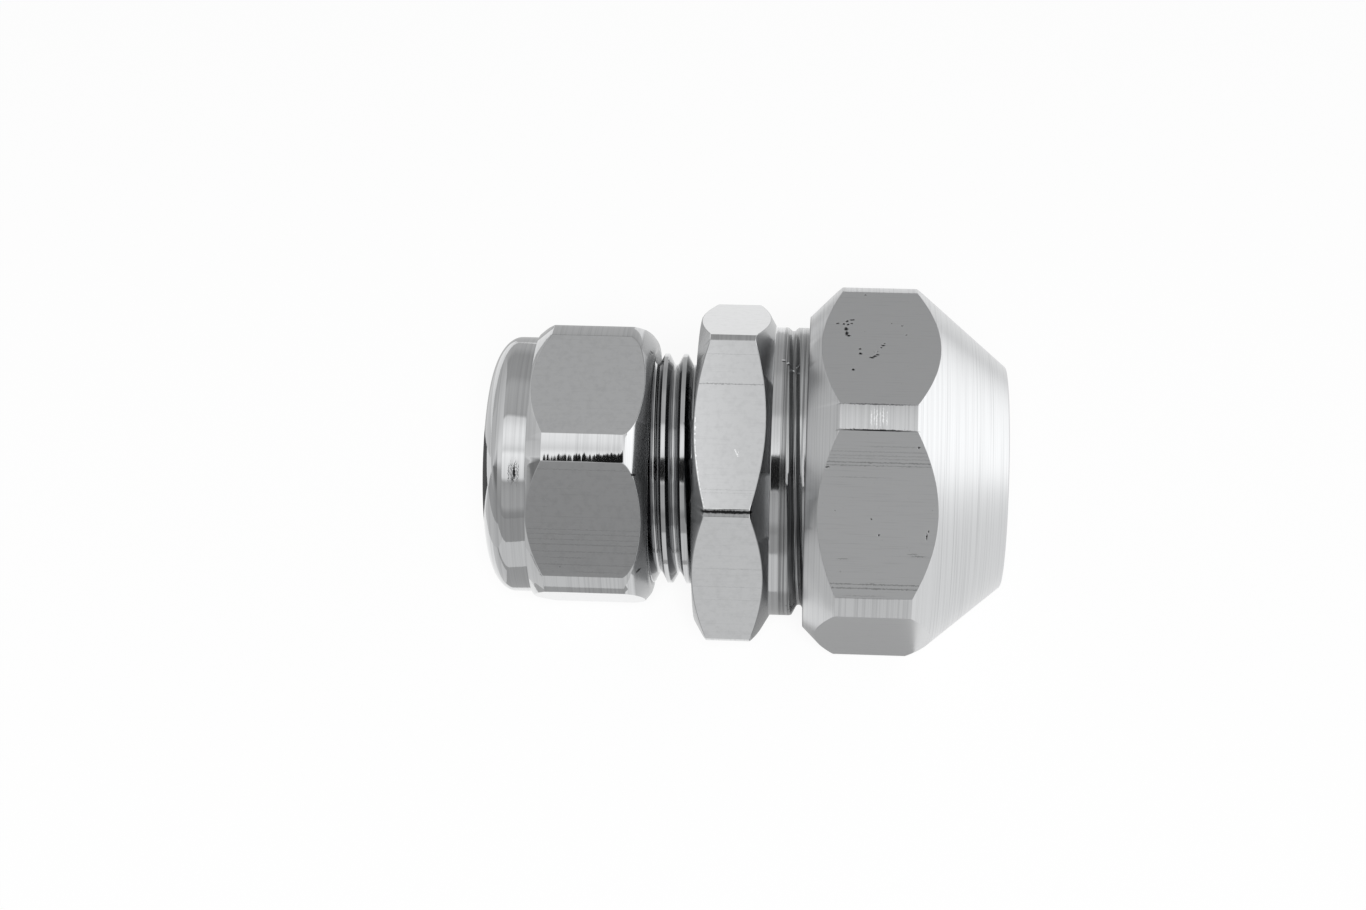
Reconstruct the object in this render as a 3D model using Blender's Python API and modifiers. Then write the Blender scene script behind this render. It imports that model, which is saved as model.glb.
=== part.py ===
"""Reducing compression union for a 12 mm and a 10 mm tube.

A turned and hexagon-milled body carries a parallel pipe thread at each end.
On each thread sits a union nut, and inside each nut lies the compression ring
that the nut squeezes onto the tube. The axis of the tube lies along +X, with
the small end towards -X. The union lies on a flat surface: the large nut has
a flat downwards, and the body a corner.

Lengths are in metres. Stations along the axis are measured from the middle of
the photographed body, and grow towards the large end.
"""

import math
from collections import namedtuple

import bmesh
import bpy
from mathutils import Matrix, Vector

# Facets round each turned surface, and steps round one turn of a thread
FACETS = 40

# Facets along the small nut's dome and along the rounded edges
DOME_FACETS = 6
ROUNDING_FACETS = 3

# Points of a cut mesh that lie closer than this are one point
SLIVER = 0.000002

# Faces that meet at less than this are shaded as one round surface
SHADING_ANGLE = math.radians(25.0)

# Tubes and waterway
SMALL_TUBE_DIAMETER = 0.0100
LARGE_TUBE_DIAMETER = 0.0120
WATERWAY_DIAMETER = 0.0080
TUBE_CLEARANCE = 0.0001
SMALL_TUBE_STOP = 0.0010
LARGE_TUBE_STOP = 0.0046

# Parallel pipe threads: standard major diameter, pitch, and how much lower
# than the standard the crests are turned, on the diameter
SMALL_MAJOR_DIAMETER = 0.016662
SMALL_PITCH = 0.001337
SMALL_CREST_TURNING = 0.00014
LARGE_MAJOR_DIAMETER = 0.020955
LARGE_PITCH = 0.001814
LARGE_CREST_TURNING = 0.00030
THREAD_DEPTH_IN_PITCHES = 0.640327
THREAD_FLANK_ANGLE = math.radians(27.5)
THREAD_CLEARANCE = 0.00008

# In pitches: the groove's half width at its root, how far its cutter stands
# out of the crests, and how far a nut's ridges stop short of their roots
ROOT_HALF_IN_PITCHES = 1.0 / 12.0
OVERCUT_IN_PITCHES = 0.1
RIDGE_FLAT_IN_PITCHES = 0.05

# Body; its flats stand out from the large thread by the step, to 22 mm across
BODY_FLAT_STEP = 0.0005225
BODY_CORNER_TURNING = 0.0003
BODY_TURN = math.radians(30.0)
BODY_HEX_LOW = 0.00120
BODY_HEX_HIGH = 0.00524
BODY_HEX_CHAMFER = math.radians(30.0)
BODY_HEX_FACE_RADIUS = 0.01093
SMALL_THREAD_END = -0.0076
LARGE_THREAD_END = 0.0153
THREAD_CHAMFER = 0.00085
MOUTH_ANGLE = math.radians(30.0)
SMALL_MOUTH_DEPTH = 0.0022
LARGE_MOUTH_DEPTH = 0.0023

# Where each groove of the body crosses the downward line, and how it fades
SMALL_GROOVE_STATION = 0.000197
SMALL_RUNOUT_STATION = 0.00060
SMALL_RUNOUT_TURN = math.radians(180.0)
LARGE_GROOVE_STATION = 0.006667
LARGE_RUNOUT_STATION = 0.00702
LARGE_RUNOUT_TURN = math.radians(165.0)

# Small nut; the wall between its thread and its flats makes it 19 mm across
SMALL_NUT_FLAT_WALL = 0.001169
SMALL_NUT_CORNER_TURNING = 0.00104
SMALL_NUT_INNER_END = -0.00195
SMALL_NUT_OUTER_END = -0.01372
SMALL_NUT_HEX_INNER = -0.00340
SMALL_NUT_HEX_OUTER = -0.00920
SMALL_NUT_HEX_FACE = -0.01040
SMALL_NUT_FACE_RADIUS = 0.00943
SMALL_NUT_EDGE_ROUNDING = 0.0012
SMALL_NUT_TURN = math.radians(9.8)
COLLAR_DIAMETER = 0.01834
COLLAR_DOME_LENGTH = 0.00197
COLLAR_END_DIAMETER = 0.0112

# Large nut; the wall between its thread and its flats makes it 24 mm across
LARGE_NUT_FLAT_WALL = 0.0015225
LARGE_NUT_CORNER_TURNING = 0.00101
LARGE_NUT_INNER_END = 0.00890
LARGE_NUT_OUTER_END = 0.02288
LARGE_NUT_HEX_INNER = 0.01114
LARGE_NUT_HEX_OUTER = 0.01638
LARGE_NUT_INNER_CHAMFER = math.radians(45.0)
LARGE_NUT_END_DIAMETER = 0.01568
LARGE_NUT_EDGE_ROUNDING = 0.00035
LARGE_NUT_TURN = 0.0

# Inside both nuts
NUT_BORE_CLEARANCE = 0.00015
NUT_COUNTERSINK = 0.00025
RELIEF_LENGTH = 0.0010
RELIEF_DEPTH = 0.00012
TAP_OVERRUN = 0.0003
SHOULDER_GAP = 0.0020
BORE_EDGE_BREAK = 0.0002

# Compression rings
SMALL_RING_LENGTH = 0.0046
LARGE_RING_LENGTH = 0.0052
SMALL_RING_WALL = 0.0011
LARGE_RING_WALL = 0.0012
RING_END_WALL = 0.0003
SEAT_GAP = 0.0003

CHROME = (0.80, 0.81, 0.82, 1.0)
SATIN_CHROME = (0.66, 0.66, 0.66, 1.0)
BRASS = (0.78, 0.61, 0.30, 1.0)

Thread = namedtuple("Thread", "crest root pitch groove")


def pipe_thread(major_diameter, pitch, crest_turning, groove):
    """Work out a pipe thread's crest and root radii."""
    major = major_diameter / 2.0
    return Thread(major - crest_turning / 2.0, major - THREAD_DEPTH_IN_PITCHES * pitch, pitch, groove)


def corner_radius(across_flats, turning):
    """Work out a hexagon's corner radius, with its sharp corners turned off."""
    return across_flats / math.sqrt(3.0) - turning / 2.0


SMALL_THREAD = pipe_thread(SMALL_MAJOR_DIAMETER, SMALL_PITCH, SMALL_CREST_TURNING, SMALL_GROOVE_STATION)
LARGE_THREAD = pipe_thread(LARGE_MAJOR_DIAMETER, LARGE_PITCH, LARGE_CREST_TURNING, LARGE_GROOVE_STATION)
BODY_ACROSS_FLATS = LARGE_MAJOR_DIAMETER + 2.0 * BODY_FLAT_STEP
SMALL_NUT_ACROSS_FLATS = SMALL_MAJOR_DIAMETER + 2.0 * SMALL_NUT_FLAT_WALL
LARGE_NUT_ACROSS_FLATS = LARGE_MAJOR_DIAMETER + 2.0 * LARGE_NUT_FLAT_WALL
BODY_CORNER = corner_radius(BODY_ACROSS_FLATS, BODY_CORNER_TURNING)
SMALL_NUT_CORNER = corner_radius(SMALL_NUT_ACROSS_FLATS, SMALL_NUT_CORNER_TURNING)
LARGE_NUT_CORNER = corner_radius(LARGE_NUT_ACROSS_FLATS, LARGE_NUT_CORNER_TURNING)


def clear_scene():
    """Start from an empty scene."""
    for item in list(bpy.data.objects):
        bpy.data.objects.remove(item, do_unlink=True)


def add_collection(name):
    """Add a collection under the scene's own."""
    collection = bpy.data.collections.new(name)
    bpy.context.scene.collection.children.link(collection)
    return collection


def metal(name, color, roughness):
    """Make a plain metal finish."""
    material = bpy.data.materials.new(name)
    material.use_nodes = True
    shader = material.node_tree.nodes["Principled BSDF"]
    shader.inputs["Base Color"].default_value = color
    shader.inputs["Roughness"].default_value = roughness
    shader.inputs["Metallic"].default_value = 1.0
    material.diffuse_color = color
    return material


def add_object(name, mesh, collection, axis):
    """Put a mesh in the scene, carried by the tube axis."""
    item = bpy.data.objects.new(name, mesh)
    item.parent = axis
    collection.objects.link(item)
    return item


def as_cutter(item):
    """Show a cutter as wire only."""
    item.hide_render = True
    item.display_type = "WIRE"
    return item


def arc(center, radii, start, stop, count):
    """Points on an ellipse, given as radius and station, between two angles."""
    points = []
    for index in range(count + 1):
        angle = start + (stop - start) * index / count
        across = center[0] + radii[0] * math.cos(angle)
        along = center[1] + radii[1] * math.sin(angle)
        points.append((across, along))
    return points


def turned(name, profile, collection, axis):
    """Turn a closed profile of radii and stations about the tube axis."""
    bm = bmesh.new()
    corners = [bm.verts.new((radius, 0.0, station)) for radius, station in profile]
    for first, second in zip(corners, corners[1:] + corners[:1]):
        bm.edges.new((first, second))
    mesh = bpy.data.meshes.new(name)
    bm.to_mesh(mesh)
    bm.free()
    item = add_object(name, mesh, collection, axis)
    screw = item.modifiers.new("turning", "SCREW")
    screw.axis = "Z"
    screw.angle = 2.0 * math.pi
    screw.steps = FACETS
    screw.render_steps = FACETS
    screw.use_merge_vertices = True
    screw.merge_threshold = 0.000001
    return item


def hexagon(name, across_flats, turn, low, high, collection, axis):
    """Make a hexagonal bar with one flat turned from facing downwards."""
    bm = bmesh.new()
    sharp = across_flats / math.sqrt(3.0)
    bmesh.ops.create_cone(bm, cap_ends=True, segments=6, radius1=sharp, radius2=sharp,
                          depth=high - low)
    bmesh.ops.rotate(bm, verts=bm.verts, cent=(0.0, 0.0, 0.0),
                     matrix=Matrix.Rotation(turn, 3, "Z"))
    bmesh.ops.translate(bm, verts=bm.verts, vec=(0.0, 0.0, (low + high) / 2.0))
    mesh = bpy.data.meshes.new(name)
    bm.to_mesh(mesh)
    bm.free()
    return as_cutter(add_object(name, mesh, collection, axis))


def helix(name, outline, thread_line, first, last, lift, collection, axis):
    """Sweep an outline of radii and heights along a right-hand helix.

    The helix crosses the downward line at thread_line's station and rises by
    its pitch each turn. The sweep runs from step first to step last, counted
    from that crossing, and lift gives how far it stands out at a step.
    """
    station, pitch = thread_line
    step_turn = Matrix.Rotation(2.0 * math.pi / FACETS, 3, "Z")
    step_rise = Vector((0.0, 0.0, pitch / FACETS))
    bm = bmesh.new()
    start = station + first * pitch / FACETS
    verts = [bm.verts.new((radius + lift(first), 0.0, start + height))
             for radius, height in outline]
    face = bm.faces.new(verts)
    bmesh.ops.rotate(bm, verts=verts, cent=(0.0, 0.0, 0.0),
                     matrix=Matrix.Rotation(first * 2.0 * math.pi / FACETS, 3, "Z"))
    for step in range(first + 1, last + 1):
        inner = [] if step == first + 1 else [face]
        result = bmesh.ops.extrude_face_region(bm, geom=[face])
        face = next(item for item in result["geom"] if isinstance(item, bmesh.types.BMFace))
        bmesh.ops.delete(bm, geom=inner, context="FACES_ONLY")
        bmesh.ops.rotate(bm, verts=face.verts, cent=(0.0, 0.0, 0.0), matrix=step_turn)
        bmesh.ops.translate(bm, verts=face.verts, vec=step_rise)
        spread = lift(step) - lift(step - 1)
        for vert in face.verts:
            outward = Vector((vert.co.x, vert.co.y, 0.0)).normalized()
            vert.co += outward * spread
    bmesh.ops.recalc_face_normals(bm, faces=bm.faces)
    mesh = bpy.data.meshes.new(name)
    bm.to_mesh(mesh)
    bm.free()
    return as_cutter(add_object(name, mesh, collection, axis))


def first_step(thread, station):
    """Count the helix steps from the downward line to a station."""
    return math.floor((station - thread.groove) / thread.pitch * FACETS)


def groove_cutter(name, thread, low, high, fade_at, fade_turn, collection, axis):
    """Make the cutter of a body thread's groove, which fades out at one end."""
    root_half = ROOT_HALF_IN_PITCHES * thread.pitch
    outer = thread.crest + OVERCUT_IN_PITCHES * thread.pitch
    outer_half = root_half + (outer - thread.root) * math.tan(THREAD_FLANK_ANGLE)
    outline = [(thread.root, -root_half), (outer, -outer_half),
               (outer, outer_half), (thread.root, root_half)]
    depth = outer - thread.root
    fade_step = first_step(thread, fade_at)
    fade_steps = round(fade_turn / (2.0 * math.pi) * FACETS)
    towards = 1 if fade_at > (low + high) / 2.0 else -1

    def lift(step):
        share = towards * (step - fade_step) / fade_steps
        return depth * min(max(share, 0.0), 1.0)

    line = (thread.groove, thread.pitch)
    return helix(name, outline, line, first_step(thread, low), first_step(thread, high),
                 lift, collection, axis)


def nut_thread_cutter(name, thread, low, high, collection, axis):
    """Make the cutter of a nut's thread, which clears the body's ridges."""
    play = THREAD_CLEARANCE / math.cos(THREAD_FLANK_ANGLE)
    pitch_line = (thread.crest + thread.root) / 2.0
    pitch_half = (0.5 - ROOT_HALF_IN_PITCHES) * thread.pitch
    pitch_half -= (pitch_line - thread.root) * math.tan(THREAD_FLANK_ANGLE)
    outer = thread.crest + THREAD_CLEARANCE
    inner = thread.root + THREAD_CLEARANCE - RIDGE_FLAT_IN_PITCHES * thread.pitch

    def half(radius):
        return pitch_half + play + (pitch_line - radius) * math.tan(THREAD_FLANK_ANGLE)

    outline = [(inner, -half(inner)), (outer, -half(outer)), (outer, half(outer)), (inner, half(inner))]
    line = (thread.groove + thread.pitch / 2.0, thread.pitch)
    return helix(name, outline, line, first_step(thread, low), first_step(thread, high),
                 lambda step: 0.0, collection, axis)


def boolean(item, cutter, operation):
    """Cut an object with a cutter, or keep what both hold."""
    modifier = item.modifiers.new(cutter.name, "BOOLEAN")
    modifier.operation = operation
    modifier.object = cutter
    modifier.solver = "EXACT"


def finish(item, material):
    """Fix an object's modifiers into its mesh, and shade its round faces."""
    depsgraph = bpy.context.evaluated_depsgraph_get()
    mesh = bpy.data.meshes.new_from_object(item.evaluated_get(depsgraph))
    bm = bmesh.new()
    bm.from_mesh(mesh)
    bmesh.ops.remove_doubles(bm, verts=bm.verts, dist=SLIVER)
    bmesh.ops.dissolve_degenerate(bm, edges=bm.edges, dist=SLIVER)
    bm.to_mesh(mesh)
    bm.free()
    item.modifiers.clear()
    item.data = mesh
    mesh.name = item.name
    mesh.shade_smooth()
    mesh.set_sharp_from_angle(angle=SHADING_ANGLE)
    mesh.materials.append(material)


def mouth(side, thread_end, depth, tube_radius):
    """Give the two ends of a body's conical mouth, from its lip inwards."""
    lip_radius = tube_radius + depth * math.tan(MOUTH_ANGLE)
    return [(lip_radius, thread_end), (tube_radius, thread_end - side * depth)]


def seat_station(side, thread_end, depth, tube_radius, wall):
    """Find where a ring of this end wall stops short of the mouth's cone."""
    bottom = thread_end - side * depth
    cone_station = bottom + side * wall / math.tan(MOUTH_ANGLE)
    return cone_station + side * SEAT_GAP / math.sin(MOUTH_ANGLE)


SMALL_TUBE_RADIUS = SMALL_TUBE_DIAMETER / 2.0 + TUBE_CLEARANCE
LARGE_TUBE_RADIUS = LARGE_TUBE_DIAMETER / 2.0 + TUBE_CLEARANCE
SMALL_RING_INNER = seat_station(-1, SMALL_THREAD_END, SMALL_MOUTH_DEPTH, SMALL_TUBE_RADIUS, RING_END_WALL)
LARGE_RING_INNER = seat_station(1, LARGE_THREAD_END, LARGE_MOUTH_DEPTH, LARGE_TUBE_RADIUS, RING_END_WALL)
SMALL_RING_OUTER = SMALL_RING_INNER - SMALL_RING_LENGTH
LARGE_RING_OUTER = LARGE_RING_INNER + LARGE_RING_LENGTH


def hex_cone(corner_radius, face_radius, angle):
    """Give the length along the axis of a chamfer cone at a hexagon's end."""
    return (corner_radius - face_radius) * math.tan(angle)


def body_profile():
    """Outline the body's half section, down its outside and up its bore."""
    corner = BODY_CORNER
    small, large = SMALL_THREAD, LARGE_THREAD
    low_cone = hex_cone(corner, BODY_HEX_FACE_RADIUS, BODY_HEX_CHAMFER)
    high_cone = hex_cone(corner, large.crest, BODY_HEX_CHAMFER)
    waterway = WATERWAY_DIAMETER / 2.0
    outside = [(large.crest - THREAD_CHAMFER, LARGE_THREAD_END),
               (large.crest, LARGE_THREAD_END - THREAD_CHAMFER),
               (large.crest, BODY_HEX_HIGH + high_cone),
               (corner, BODY_HEX_HIGH),
               (corner, BODY_HEX_LOW + low_cone),
               (BODY_HEX_FACE_RADIUS, BODY_HEX_LOW),
               (small.crest, BODY_HEX_LOW),
               (small.crest, SMALL_THREAD_END + THREAD_CHAMFER),
               (small.crest - THREAD_CHAMFER, SMALL_THREAD_END)]
    bore = mouth(-1, SMALL_THREAD_END, SMALL_MOUTH_DEPTH, SMALL_TUBE_RADIUS)
    bore += [(SMALL_TUBE_RADIUS, SMALL_TUBE_STOP), (waterway, SMALL_TUBE_STOP),
             (waterway, LARGE_TUBE_STOP), (LARGE_TUBE_RADIUS, LARGE_TUBE_STOP)]
    bore += reversed(mouth(1, LARGE_THREAD_END, LARGE_MOUTH_DEPTH, LARGE_TUBE_RADIUS))
    return outside + bore


def nut_inside(side, thread, thread_end, inner_end, outer_end, ring_outer, tube_radius):
    """Outline a nut's inside, from its threaded mouth to its outer end."""
    bore = tube_radius + NUT_BORE_CLEARANCE
    minor = thread.root + THREAD_CLEARANCE + RIDGE_FLAT_IN_PITCHES * thread.pitch
    relief = thread.crest + RELIEF_DEPTH
    sink = thread.crest + NUT_COUNTERSINK
    shoulder = thread_end + side * SHOULDER_GAP
    relief_start = shoulder - side * RELIEF_LENGTH
    wall = RING_END_WALL + tube_radius - bore
    cone_end = ring_outer + side * (SEAT_GAP / math.sin(MOUTH_ANGLE) + wall / math.tan(MOUTH_ANGLE))
    cone_start = bore + abs(cone_end - shoulder) * math.tan(MOUTH_ANGLE)
    return [(sink, inner_end),
            (minor, inner_end + side * (sink - minor)),
            (minor, relief_start - side * (relief - minor)),
            (relief, relief_start),
            (relief, shoulder),
            (cone_start, shoulder),
            (bore, cone_end),
            (bore, outer_end - side * BORE_EDGE_BREAK),
            (bore + BORE_EDGE_BREAK, outer_end)]


def small_nut_profile():
    """Outline the small nut: rounded hexagon edge, collar and dome."""
    corner = SMALL_NUT_CORNER
    collar = COLLAR_DIAMETER / 2.0
    dome_center = (COLLAR_END_DIAMETER / 2.0, SMALL_NUT_OUTER_END + COLLAR_DOME_LENGTH)
    dome_radii = (collar - dome_center[0], COLLAR_DOME_LENGTH)
    chamfer = math.radians(45.0)
    cone_at_end = corner - (SMALL_NUT_INNER_END - SMALL_NUT_HEX_INNER)
    round_center = (cone_at_end - SMALL_NUT_EDGE_ROUNDING * math.tan(chamfer / 2.0),
                    SMALL_NUT_INNER_END - SMALL_NUT_EDGE_ROUNDING)
    rounding = (SMALL_NUT_EDGE_ROUNDING, SMALL_NUT_EDGE_ROUNDING)
    outside = arc(round_center, rounding, math.radians(90.0), chamfer, ROUNDING_FACETS)
    outside += [(corner, SMALL_NUT_HEX_INNER), (corner, SMALL_NUT_HEX_OUTER),
                (SMALL_NUT_FACE_RADIUS, SMALL_NUT_HEX_FACE), (collar, SMALL_NUT_HEX_FACE)]
    outside += arc(dome_center, dome_radii, 0.0, math.radians(-90.0), DOME_FACETS)
    inside = nut_inside(-1, SMALL_THREAD, SMALL_THREAD_END, SMALL_NUT_INNER_END,
                        SMALL_NUT_OUTER_END, SMALL_RING_OUTER, SMALL_TUBE_RADIUS)
    return outside + list(reversed(inside))


def large_nut_profile():
    """Outline the large nut: short chamfer, hexagon and long cone."""
    corner = LARGE_NUT_CORNER
    end = LARGE_NUT_END_DIAMETER / 2.0
    face = corner - (LARGE_NUT_HEX_INNER - LARGE_NUT_INNER_END) / math.tan(LARGE_NUT_INNER_CHAMFER)
    cone = math.atan2(corner - end, LARGE_NUT_OUTER_END - LARGE_NUT_HEX_OUTER)
    setback = LARGE_NUT_EDGE_ROUNDING * math.tan((math.pi / 2.0 - cone) / 2.0)
    round_center = (end - setback, LARGE_NUT_OUTER_END - LARGE_NUT_EDGE_ROUNDING)
    rounding = (LARGE_NUT_EDGE_ROUNDING, LARGE_NUT_EDGE_ROUNDING)
    outside = arc(round_center, rounding, math.pi / 2.0, math.pi / 2.0 - cone, ROUNDING_FACETS)
    inside = nut_inside(1, LARGE_THREAD, LARGE_THREAD_END, LARGE_NUT_INNER_END,
                        LARGE_NUT_OUTER_END, LARGE_RING_OUTER, LARGE_TUBE_RADIUS)
    outside += [(corner, LARGE_NUT_HEX_OUTER), (corner, LARGE_NUT_HEX_INNER),
                (face, LARGE_NUT_INNER_END)]
    return outside + inside


def ring_profile(low, high, tube_radius, wall):
    """Outline a compression ring: two cones and a crown round a plain bore."""
    crown = tube_radius + wall
    end = tube_radius + RING_END_WALL
    taper = (crown - end) / math.tan(MOUTH_ANGLE)
    return [(end, high), (crown, high - taper), (crown, low + taper), (end, low),
            (tube_radius, low), (tube_radius, high)]


def build():
    """Build the union's five pieces about one tube axis, lying on a body corner."""
    clear_scene()
    pieces = add_collection("tube_union")
    cutters = add_collection("cutters")
    middle = (SMALL_NUT_OUTER_END + LARGE_NUT_OUTER_END) / 2.0
    axis = bpy.data.objects.new("tube_axis", None)
    axis.rotation_euler = (0.0, math.pi / 2.0, 0.0)
    axis.location = (-middle, 0.0, BODY_CORNER)
    pieces.objects.link(axis)
    chrome = metal("polished chrome plate", CHROME, 0.08)
    satin = metal("satin chrome plate", SATIN_CHROME, 0.32)
    brass = metal("turned brass", BRASS, 0.25)

    body = turned("union_body", body_profile(), pieces, axis)
    bar = hexagon("body_bar", BODY_ACROSS_FLATS, BODY_TURN, SMALL_THREAD_END - SMALL_PITCH,
                  LARGE_THREAD_END + LARGE_PITCH, cutters, axis)
    small_groove = groove_cutter("small_groove", SMALL_THREAD, SMALL_THREAD_END - SMALL_PITCH,
                                 SMALL_RUNOUT_STATION, SMALL_RUNOUT_STATION - SMALL_PITCH / 2.0,
                                 SMALL_RUNOUT_TURN, cutters, axis)
    large_groove = groove_cutter("large_groove", LARGE_THREAD, LARGE_RUNOUT_STATION,
                                 LARGE_THREAD_END + LARGE_PITCH,
                                 LARGE_RUNOUT_STATION + LARGE_PITCH / 2.0,
                                 LARGE_RUNOUT_TURN, cutters, axis)
    boolean(body, bar, "INTERSECT")
    boolean(body, small_groove, "DIFFERENCE")
    boolean(body, large_groove, "DIFFERENCE")

    small_nut = turned("small_nut", small_nut_profile(), pieces, axis)
    small_bar = hexagon("small_nut_bar", SMALL_NUT_ACROSS_FLATS, SMALL_NUT_TURN,
                        SMALL_NUT_OUTER_END - SMALL_PITCH, SMALL_NUT_INNER_END + SMALL_PITCH,
                        cutters, axis)
    small_tap = nut_thread_cutter("small_nut_tap", SMALL_THREAD,
                                  SMALL_THREAD_END - SHOULDER_GAP + RELIEF_LENGTH - TAP_OVERRUN,
                                  SMALL_NUT_INNER_END + SMALL_PITCH, cutters, axis)
    boolean(small_nut, small_bar, "INTERSECT")
    boolean(small_nut, small_tap, "DIFFERENCE")

    large_nut = turned("large_nut", large_nut_profile(), pieces, axis)
    large_bar = hexagon("large_nut_bar", LARGE_NUT_ACROSS_FLATS, LARGE_NUT_TURN,
                        LARGE_NUT_INNER_END - LARGE_PITCH, LARGE_NUT_OUTER_END + LARGE_PITCH,
                        cutters, axis)
    large_tap = nut_thread_cutter("large_nut_tap", LARGE_THREAD, LARGE_NUT_INNER_END - LARGE_PITCH,
                                  LARGE_THREAD_END + SHOULDER_GAP - LARGE_PITCH / 2.0,
                                  cutters, axis)
    boolean(large_nut, large_bar, "INTERSECT")
    boolean(large_nut, large_tap, "DIFFERENCE")

    small_ring = turned("small_ring", ring_profile(SMALL_RING_OUTER, SMALL_RING_INNER,
                                                   SMALL_TUBE_RADIUS, SMALL_RING_WALL), pieces, axis)
    large_ring = turned("large_ring", ring_profile(LARGE_RING_INNER, LARGE_RING_OUTER,
                                                   LARGE_TUBE_RADIUS, LARGE_RING_WALL), pieces, axis)
    for item, material in ((body, chrome), (small_nut, chrome), (large_nut, satin),
                           (small_ring, brass), (large_ring, brass)):
        finish(item, material)


build()
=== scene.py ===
"""Looks of a reducing compression union: polished chrome body and small nut,
satin chrome large nut, and the two brass compression rings inside.

Each solid of the frame gets a finely turned piece of the same form, with
rounded thread crests, crisp edges that catch the light, and the lines that
drawing and turning leave in the metal. Lengths are in metres, but in the lists
of marks, zones and cards they are in millimetres. A station is a place along
the tube axis from the body's middle, and a turn is an angle about that axis,
from straight down where no other start is given.
"""

import math
from collections import namedtuple

import bmesh
import bpy
from mathutils import Matrix, Vector


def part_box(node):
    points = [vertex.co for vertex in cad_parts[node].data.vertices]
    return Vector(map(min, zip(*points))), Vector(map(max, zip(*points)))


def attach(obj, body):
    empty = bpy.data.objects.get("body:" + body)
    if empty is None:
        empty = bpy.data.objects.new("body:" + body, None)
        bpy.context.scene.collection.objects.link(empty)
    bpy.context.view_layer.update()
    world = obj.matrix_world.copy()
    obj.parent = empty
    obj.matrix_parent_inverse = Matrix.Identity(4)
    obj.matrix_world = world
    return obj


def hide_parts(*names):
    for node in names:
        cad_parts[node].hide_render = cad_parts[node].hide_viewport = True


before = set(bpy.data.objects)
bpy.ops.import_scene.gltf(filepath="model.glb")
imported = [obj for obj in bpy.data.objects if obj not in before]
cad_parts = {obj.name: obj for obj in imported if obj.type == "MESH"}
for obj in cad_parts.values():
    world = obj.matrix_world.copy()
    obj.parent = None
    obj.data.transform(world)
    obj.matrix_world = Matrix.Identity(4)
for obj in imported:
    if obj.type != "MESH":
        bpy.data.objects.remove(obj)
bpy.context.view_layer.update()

MM = 0.001

# Columns round each turned surface
COLUMNS = 192

# Tubes and waterway
SMALL_TUBE_RADIUS = 5.10 * MM
LARGE_TUBE_RADIUS = 6.10 * MM
WATERWAY_RADIUS = 4.00 * MM
SMALL_TUBE_STOP = 1.00 * MM
LARGE_TUBE_STOP = 4.60 * MM

# Pipe threads, with the Whitworth form's depth, flank angle and rounding
Thread = namedtuple("Thread", "major crest pitch groove")
SMALL_THREAD = Thread(8.331 * MM, 8.261 * MM, 1.337 * MM, 0.197 * MM)
LARGE_THREAD = Thread(10.4775 * MM, 10.3275 * MM, 1.814 * MM, 7.027 * MM)
DEPTH_IN_PITCHES = 0.640327
ROUNDING_IN_PITCHES = 0.137329
FLANK_ANGLE = math.radians(27.5)
THREAD_PLAY = 0.08 * MM

# Body
BODY_FLAT = 11.00 * MM
BODY_CORNER = 12.5517 * MM
BODY_TURN = math.radians(30.0)
BODY_HEX_LOW = 1.20 * MM
BODY_HEX_HIGH = 5.24 * MM
BODY_FACE_RADIUS = 10.93 * MM
BODY_CHAMFER = math.radians(30.0)
SMALL_THREAD_END = -7.60 * MM
LARGE_THREAD_END = 15.30 * MM
THREAD_CHAMFER = 0.85 * MM
MOUTH_ANGLE = math.radians(30.0)
SMALL_MOUTH_DEPTH = 2.20 * MM
LARGE_MOUTH_DEPTH = 2.30 * MM
SMALL_RUNOUT = (0.95 * MM, 1.60 * MM)
LARGE_RUNOUT = (9.00 * MM, 7.30 * MM)
SMALL_SHANK = 1.12 * MM
LARGE_LAND = 6.60 * MM

# Small nut
SMALL_NUT_FLAT = 9.50 * MM
SMALL_NUT_CORNER = 10.4497 * MM
SMALL_NUT_TURN = math.radians(9.8)
SMALL_NUT_INNER_END = -1.95 * MM
SMALL_NUT_OUTER_END = -13.72 * MM
SMALL_NUT_HEX_INNER = -3.60 * MM
SMALL_NUT_HEX_OUTER = -9.20 * MM
SMALL_NUT_HEX_FACE = -10.40 * MM
SMALL_NUT_FACE_RADIUS = 9.43 * MM
SMALL_NUT_EDGE_RADII = (1.896 * MM, 0.80 * MM)
SMALL_NUT_EDGE_TURNS = (math.radians(15.0), math.radians(45.0), math.radians(50.0))
SMALL_NUT_END_RADIUS = 8.71 * MM
COLLAR_RADIUS = 9.17 * MM
COLLAR_DOME = 1.97 * MM
COLLAR_END_RADIUS = 5.60 * MM

# Large nut
LARGE_NUT_FLAT = 12.00 * MM
LARGE_NUT_CORNER = 13.3514 * MM
LARGE_NUT_TURN = 0.0
LARGE_NUT_INNER_END = 8.90 * MM
LARGE_NUT_OUTER_END = 22.88 * MM
LARGE_NUT_HEX_INNER = 11.14 * MM
LARGE_NUT_HEX_OUTER = 16.38 * MM
LARGE_NUT_FACE_RADIUS = 11.1114 * MM
LARGE_NUT_END_RADIUS = 7.84 * MM
LARGE_NUT_ROUNDING = 0.35 * MM

# Inside both nuts
BORE_PLAY = 0.15 * MM
RELIEF_LENGTH = 1.00 * MM
SHOULDER_GAP = 2.00 * MM
BORE_EDGE = 0.20 * MM

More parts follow.
